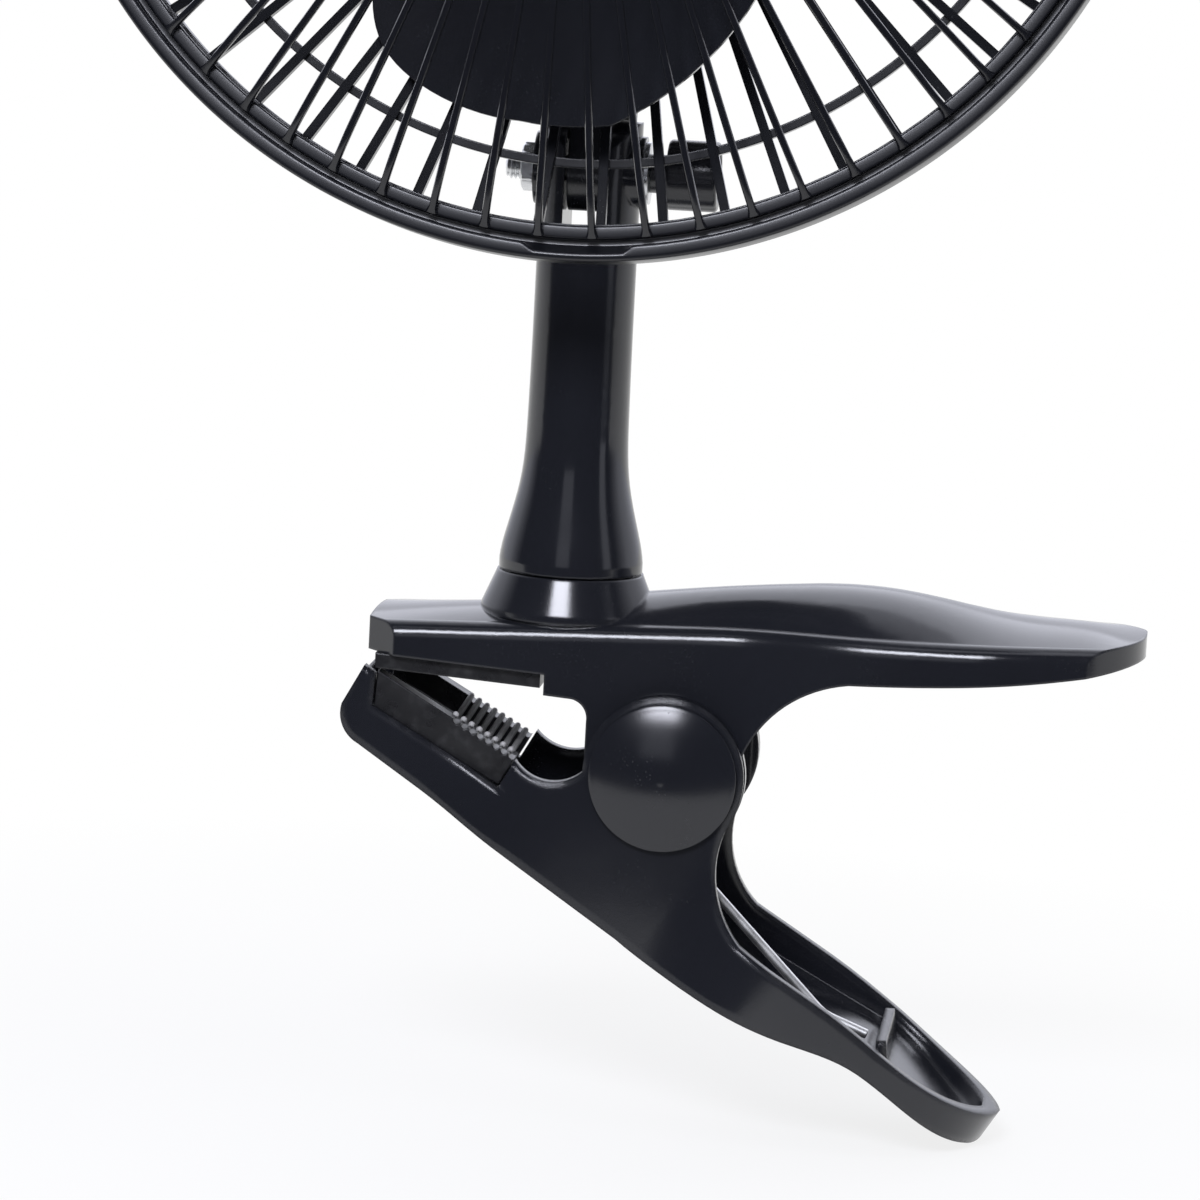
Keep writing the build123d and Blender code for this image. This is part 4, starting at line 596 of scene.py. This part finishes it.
def fan_place(x, up, ahead):
    """A point of the tilted head: across, up and forward from the middle of the guard's rim."""
    x, up, ahead = (np.asarray(value, float)[..., None] for value in (x, up, ahead))
    return fan_centre + fan_right * x + fan_upward * up + fan_forward * ahead


def round_corners(corners, radius, steps=3):
    """A closed profile with every corner cut back by its radius and bridged by a quadratic curve:
    the corner pulls with weight 2t(1 - t), the two cut ends with the rest."""
    corners = np.asarray(corners, float)
    radius = np.reshape(radius, (-1, 1))
    before = np.roll(corners, 1, axis=0) - corners
    after = np.roll(corners, -1, axis=0) - corners
    before_length = np.linalg.norm(before, axis=1, keepdims=True)
    after_length = np.linalg.norm(after, axis=1, keepdims=True)
    enter = corners + before * np.minimum(radius / before_length, 0.45)
    leave = corners + after * np.minimum(radius / after_length, 0.45)
    t = np.linspace(0, 1, steps + 1)[None, :, None]
    bridge = enter[:, None] * (1 - t) ** 2 + corners[:, None] * 2 * t * (1 - t) + leave[:, None] * t**2
    return bridge.reshape(-1, 2)


def rim_rings():
    """The rim's section carried round the fan's axis. At the bottom, the lip's inner edge is drawn
    out by the notch's depth, with a ramp at both of its ends."""
    lip_inner = rim_radius - lip_width
    skirt_inner = rim_radius - skirt_wall
    ring = [(ring_inner, ring_back), (ring_inner, ring_front), (ring_outer, ring_front)]
    channel = [(ring_outer, channel_front), (lip_inner, channel_front)]
    lip = [(lip_inner, lip_front), (rim_radius, lip_front)]
    skirt = [(rim_radius, skirt_back), (skirt_inner, skirt_back), (skirt_inner, ring_back)]
    section = round_corners(ring + channel + lip + skirt, rim_rounds)
    angle = np.linspace(0, 2 * pi, 720, endpoint=False)
    from_bottom = np.abs((angle - notch_middle + pi) % (2 * pi) - pi) * rim_radius
    ramp = np.clip((notch_half + notch_ramp / 2 - from_bottom) / notch_ramp, 0, 1)
    near_lip = np.abs(section[:, 0] - lip_inner) < lip_round + 0.01
    inner_edge = near_lip & (section[:, 1] > channel_front + 0.6)
    radius = section[None, :, 0] + notch_depth * ramp[:, None] * inner_edge[None]
    return fan_place(radius * np.cos(angle)[:, None], radius * np.sin(angle)[:, None],
                     np.broadcast_to(section[None, :, 1], radius.shape))


def cup_rings():
    """The badge's cup: a floor and a raised ring with rounded edges about the fan's axis."""
    wide, slim = cup_edge
    rising = [cup_floor[0], cup_floor[0], cup_front - wide, cup_front - slim, cup_front]
    falling = [cup_front, cup_front - slim, cup_front - wide, cup_floor[1], cup_floor[1]]
    outside = [closing_radius, cup_outer, cup_outer, cup_outer - slim, cup_outer - wide]
    inside = [cup_inner + wide, cup_inner + slim, cup_inner, cup_inner, closing_radius]
    return lathe(fan_centre, fan_forward, fan_right, rising + falling, outside + inside)


def rib_rings():
    """Each rib is a slim rounded section carried along its line: straight from the cup, round the
    bend by a quadratic curve, and straight to the ring. Its foot widens towards the ring."""
    start, bend, foot = (np.array(point) for point in (rib_start, rib_bend, rib_foot))
    enter = bend + (start - bend) / np.linalg.norm(start - bend) * rib_round
    leave = bend + (foot - bend) / np.linalg.norm(foot - bend) * rib_round
    t = np.linspace(0, 1, 11)[:, None]
    curve = enter * (1 - t) ** 2 + bend * 2 * t * (1 - t) + leave * t**2
    near_foot = leave + (foot - leave) * np.array([0.3, 0.6, 0.8, 0.92, 1.0])[:, None]
    line = np.concatenate([[start], [start * 0.5 + enter * 0.5], curve, near_foot])
    way = np.gradient(line, axis=0)
    way /= np.linalg.norm(way, axis=1, keepdims=True)
    square = np.stack([-way[:, 1], way[:, 0]], axis=1)
    near = np.clip(1 - np.linalg.norm(line - foot, axis=1) / foot_reach, 0, 1)
    widen = 1 + foot_widening * near**2
    turn = np.linspace(0, 2 * pi, 10, endpoint=False) + pi / 10
    across = np.sign(np.cos(turn)) * np.abs(np.cos(turn)) ** rib_square * rib_half_width
    deep = np.sign(np.sin(turn)) * np.abs(np.sin(turn)) ** rib_square * rib_half_depth
    radius = line[:, None, 0] + square[:, None, 0] * deep[None]
    ahead = line[:, None, 1] + square[:, None, 1] * deep[None]
    side = across[None] * widen[:, None]
    angle = rib_angles[:, None, None]
    x = radius * np.cos(angle) - side * np.sin(angle)
    up = radius * np.sin(angle) + side * np.cos(angle)
    return fan_place(x, up, np.broadcast_to(ahead, x.shape))


GUARD_BLACK = (0.0075, 0.008, 0.0105)
guard_plastic = moulded("guard_plastic", GUARD_BLACK, polish=0.13, rubbed=0.2, edge=0.0001,
                        wave=0.00002, scuff=0.12)
rim_plastic = moulded("rim_plastic", GUARD_BLACK, polish=0.27, rubbed=0.36, edge=0.0001,
                      wave=0.00002, grain=0.000002, scuff=0.12)
nub_x = nub_ring * np.cos(rib_angles + nub_turn)
nub_up = nub_ring * np.sin(rib_angles + nub_turn)
nub_ends = [fan_place(nub_x, nub_up, np.full(rib_count, ring_front + lift)) for lift in (-nub_lift, nub_lift)]
nubs = [capsule(low, high, nub_radius, ring_count=4, round_count=8) for low, high in zip(*nub_ends)]
fit(surface("guard_rim", rim_rings(), looped=True), rim_plastic, "head", "black_gloss", "front_grille")
fit(surface("badge_cup", cup_rings()), guard_plastic, "head", "black_gloss")
fit(surface("front_ribs", rib_rings()), guard_plastic, "head", "black_gloss")
fit(surface("rib_nubs", nubs), guard_plastic, "head", "black_gloss")

# The badge is a plain pressed disc in the middle of the guard, in satin black with a turned
# finish. It carries nothing.
def turned_finish(name, colour, roughness, pitch):
    """A satin disc with fine turning marks: rings about the fan's axis, by the distance from it."""
    material, tree, shader, place = start_material(name)
    shift = {0: place, 1: tuple(-fan_centre * MM)}
    shifted = add_node(tree, "VectorMath", shift, operation="ADD").outputs["Vector"]
    turn = {"Vector": shifted, "Angle": -head_lean}
    turned = add_node(tree, "VectorRotate", turn, rotation_type="X_AXIS").outputs["Vector"]
    flat = add_node(tree, "VectorMath", {0: turned, 1: (1.0, 0.0, 1.0)}, operation="MULTIPLY")
    distance = add_node(tree, "VectorMath", {0: flat.outputs["Vector"]}, operation="LENGTH").outputs["Value"]
    rings = maths(tree, "SINE", maths(tree, "MULTIPLY", distance, 2 * pi / pitch), 0.0)
    normal, worn = soft_edges(tree, 0.0003)
    normal = bump(tree, rings, 0.000004, normal)
    tree.links.new(normal, shader.inputs["Normal"])
    cloud = remap(tree, noise(tree, place, 90.0), 0.3, 0.7, roughness - 0.05, roughness + 0.08)
    tree.links.new(cloud, shader.inputs["Roughness"])
    tone = blend_colours(tree, worn, (*colour, 1.0), (0.2, 0.2, 0.2, 1.0))
    tree.links.new(tone, shader.inputs["Base Color"])
    shader.inputs["Metallic"].default_value = 0.85
    return material


dress(turned_finish("badge_satin", (0.09, 0.09, 0.095), roughness=0.3, pitch=0.0005), "grille_badge")

# The rear half of the guard is a flat cone of 54 ribs with two hoops, clamped on the motor by the
# motor's cover.
rear_plastic = moulded("rear_plastic", (0.0085, 0.009, 0.0112), polish=0.17, rubbed=0.28, edge=0.0003,
                       wave=0.00006)
dress(rear_plastic, "rear_grille")

# The motor sits in a round black housing with cooling slots, whose stem ends in the tongue of the
# tilt joint. The cover and three pan head screws close it.
housing_plastic = moulded("housing_plastic", (0.0108, 0.0114, 0.014), polish=0.2, rubbed=0.34, edge=0.0005)
dress(housing_plastic, "motor_housing", "motor_cover")
dress(zinc, "housing_screws")

# The fan has three wide cambered blades on a domed hub, one moulding in glossy black. It is pressed
# on the motor's shaft.
blade_plastic = moulded("blade_plastic", (0.011, 0.0118, 0.0148), polish=0.12, rubbed=0.24, edge=0.0004,
                        wave=0.0002, scuff=0.35)
dress(blade_plastic, "fan_blade")

# The motor's shaft is ground steel and turns in two plain bronze bearings, between two washers.
shaft_steel = metal("ground_steel", (0.66, 0.66, 0.67), polish=0.12, rubbed=0.2)
bronze = metal("sintered_bronze", (0.42, 0.27, 0.13), polish=0.38, rubbed=0.55)
dress(shaft_steel, "motor_shaft")
dress(zinc, "thrust_washers")
dress(bronze, "front_bearing", "rear_bearing")

# The stator and the rotor are stacks of thin steel sheets. The sheets' edges show as fine lines
# along the fan's axis.
def stacked(name, colour, sheet):
    """A stack of sheets: a wave along the fan's axis, one crest to a sheet, with a bluish scale."""
    material, tree, shader, place = start_material(name)
    turned = add_node(tree, "VectorRotate", {"Vector": place, "Angle": head_lean}, rotation_type="X_AXIS")
    axis = add_node(tree, "SeparateXYZ", {0: turned.outputs["Vector"]}).outputs["Y"]
    crest = maths(tree, "SINE", maths(tree, "MULTIPLY", axis, 2 * pi / sheet), 0.0)
    normal = bump(tree, crest, 0.00006, soft_edges(tree, 0.0002)[0])
    tree.links.new(normal, shader.inputs["Normal"])
    scale = remap(tree, noise(tree, place, 200.0, 4.0), 0.35, 0.65, 0.0, 1.0)
    blue = (colour[0] * 0.6, colour[1] * 0.66, colour[2] * 0.8, 1.0)
    tree.links.new(blend_colours(tree, scale, (*colour, 1.0), blue), shader.inputs["Base Color"])
    tree.links.new(remap(tree, crest, -1.0, 1.0, 0.55, 0.34), shader.inputs["Roughness"])
    shader.inputs["Metallic"].default_value = 0.9
    return material


dress(stacked("sheet_stack", (0.33, 0.33, 0.34), sheet=0.0005), "stator_core", "rotor_core")

# The coil is enamelled copper wire, wound turn beside turn on a white nylon bobbin round the
# stator's upper limb.
limb_length = 14.0
limb_height = 5.0
limb_middle = 20.0
core_middle = -51.0
coil_half = 9.2
coil_inner = 1.05
coil_outer = 4.3
turn_pitch = 0.62
turn_dip = 0.16
coil_corners = (0.3, 1.6)  # round the limb, and outside


def frame_ring(outer, corner, count=48):
    """A rounded rectangle that stands outside the limb by outer: in each quarter the middle of
    the round, then the round itself."""
    angle = np.linspace(0, 2 * pi, count, endpoint=False) + pi / count
    wide = limb_length / 2 + outer - corner
    high = limb_height / 2 + outer - corner
    return np.stack([np.sign(np.cos(angle)) * wide + corner * np.cos(angle),
                     np.sign(np.sin(angle)) * high + corner * np.sin(angle)], axis=-1)


def coil_rings():
    """The winding's rings across the limb: the outer ones swell and dip once for each turn."""
    across = np.arange(-coil_half, coil_half + 0.01, turn_pitch / 4)
    swell = coil_outer - turn_dip * (0.5 - 0.5 * np.cos(2 * pi * (across + coil_half) / turn_pitch))
    rings = [(x, frame_ring(out, coil_corners[1])) for x, out in zip(across, swell)]
    rings += [(x, frame_ring(coil_inner, coil_corners[0])) for x in (coil_half, -coil_half)]
    return [fan_place(np.full(len(ring), x), limb_middle + ring[:, 1], core_middle + ring[:, 0])
            for x, ring in rings]


copper = metal("enamelled_copper", (0.62, 0.27, 0.11), polish=0.22, rubbed=0.36)
nylon = moulded("bobbin_nylon", (0.62, 0.6, 0.54), polish=0.35, rubbed=0.5, edge=0.0003)
fit(surface("copper_coil", coil_rings(), looped=True), copper, "head", "copper", "stator_coil")
dress(nylon, "coil_bobbin")

# A closed ring of thick copper through each pole starts the motor. Two pressed steel brackets
# carry the bearings, and two long bolts clamp them to the cover.
ring_copper = metal("ring_copper", (0.64, 0.30, 0.14), polish=0.26, rubbed=0.42)
bracket_steel = metal("bracket_steel", (0.5, 0.5, 0.5), polish=0.3, rubbed=0.46)
dress(ring_copper, "shading_rings")
dress(bracket_steel, "front_bracket", "rear_bracket")
dress(zinc, "motor_bolts")

# The switch is a small closed rotary block inside the housing's back. Its knob outside has fine
# flutes and a raised pointer, and turns a quarter turn.
switch_plastic = moulded("switch_plastic", (0.03, 0.03, 0.032), polish=0.35, rubbed=0.5, edge=0.0003)
dress(switch_plastic, "switch_body")
dress(knob_plastic, "switch_knob")

# The cord's inlet is a ring of soft black rubber in the housing's lower left. No lead is in it.
dress(rubber("grommet_rubber", (0.02, 0.02, 0.02), roughness=0.5, dust=0.3), "cord_grommet")

# The floor is a pale sheet just under the clip's lower handle. Round the object it keeps the soft
# shadow, and further out it turns into the white of the background.
floor_gap = 0.0005
floor_z = cad_box[0][2] - floor_gap
floor_near = -0.185
floor_far = 3.0
floor_half = 1.8
shadow_share = 0.2
shadow_near = 0.09
shadow_far = 0.26
floor_mesh = bpy.data.meshes.new("floor")
floor_corners = [(-floor_half, floor_near, floor_z), (floor_half, floor_near, floor_z),
                 (floor_half, floor_far, floor_z), (-floor_half, floor_far, floor_z)]
floor_mesh.from_pydata(floor_corners, [], [(0, 1, 2, 3)])
floor = bpy.data.objects.new("floor", floor_mesh)
bpy.context.scene.collection.objects.link(floor)
floor_paint, tree, floor_shader, place = start_material("floor_paint")
floor_shader.inputs["Base Color"].default_value = (0.9, 0.9, 0.9, 1.0)
floor_shader.inputs["Roughness"].default_value = 0.8
rays = tree.nodes.new("ShaderNodeLightPath").outputs
mirrored = maths(tree, "MAXIMUM", rays["Is Glossy Ray"], rays["Is Transmission Ray"])
seen = maths(tree, "MAXIMUM", rays["Is Camera Ray"], mirrored)
away = add_node(tree, "VectorMath", {0: place}, operation="LENGTH").outputs["Value"]
white_share = remap(tree, away, shadow_near, shadow_far, 1.0 - shadow_share, 1.0)
glow = add_node(tree, "Emission", {"Color": (1.0, 1.0, 1.0, 1.0), "Strength": 1.0}).outputs[0]
glow_share = maths(tree, "MULTIPLY", seen, white_share)
mixed = add_node(tree, "MixShader", {0: glow_share, 1: floor_shader.outputs[0], 2: glow})
tree.links.new(mixed.outputs[0], tree.nodes["Material Output"].inputs["Surface"])
floor_mesh.materials.append(floor_paint)

# The light is a small studio: a bright soft box high in front draws the crisp highlights on the
# collar and along the arm. Dim ones stand low in front, overhead, at the right and behind.
lamp_target = Vector((0.02, 0.0, 0.06))
COOL_WHITE = (0.95, 0.97, 1.08)


def soft_box(name, turn, rise, distance, width, height, radiance):
    """A rectangular lamp that looks at the fan: turn from straight ahead to the right, rise above
    the floor, and power from its radiance, pi and its area."""
    data = bpy.data.lights.new(name, "AREA")
    data.shape = "RECTANGLE"
    data.size, data.size_y = width, height
    data.color = COOL_WHITE
    data.energy = radiance * pi * width * height
    lamp = bpy.data.objects.new(name, data)
    turn, rise = radians(turn), radians(rise)
    away = Vector((sin(turn) * cos(rise), -cos(turn) * cos(rise), sin(rise)))
    lamp.location = lamp_target + away * distance
    lamp.rotation_euler = away.to_track_quat("Z", "Y").to_euler()
    lamp.visible_camera = False
    bpy.context.scene.collection.objects.link(lamp)


soft_box("front_box", turn=-8.0, rise=35.0, distance=1.3, width=0.5, height=0.36, radiance=22.0)
soft_box("low_box", turn=-8.0, rise=11.0, distance=1.5, width=0.55, height=0.45, radiance=0.6)
soft_box("over_box", turn=20.0, rise=80.0, distance=1.2, width=0.9, height=0.5, radiance=1.2)
soft_box("right_panel", turn=66.0, rise=12.0, distance=1.5, width=0.35, height=0.9, radiance=0.8)
soft_box("back_box", turn=180.0, rise=34.0, distance=1.7, width=2.4, height=1.3, radiance=0.8)

# Round about, the background is white to the camera. In reflections it is white behind the fan
# and dark on the camera's side, and as a light it is an even grey. Like the lamps it is a little
# cool, as in the photograph.
room_light = 0.4
dark_side = 0.03
world = bpy.data.worlds.new("studio")
bpy.context.scene.world = world
world.use_nodes = True
tree = world.node_tree
tree.nodes.clear()
rays = tree.nodes.new("ShaderNodeLightPath").outputs
direction = tree.nodes.new("ShaderNodeTexCoord").outputs["Generated"]
behind = add_node(tree, "SeparateXYZ", {0: direction}).outputs["Y"]
mirror = remap(tree, behind, -0.1, 0.35, dark_side, 1.0)
glossy = maths(tree, "MAXIMUM", rays["Is Glossy Ray"], rays["Is Transmission Ray"])
added = maths(tree, "MULTIPLY", glossy, maths(tree, "SUBTRACT", mirror, room_light))
strength = maths(tree, "MAXIMUM", rays["Is Camera Ray"], maths(tree, "ADD", added, room_light))
tone = blend_colours(tree, rays["Is Camera Ray"], (*COOL_WHITE, 1.0), (1.0, 1.0, 1.0, 1.0))
background = add_node(tree, "Background", {"Color": tone, "Strength": strength})
output = tree.nodes.new("ShaderNodeOutputWorld")
tree.links.new(background.outputs[0], output.inputs["Surface"])
bpy.context.scene.view_settings.view_transform = "Standard"
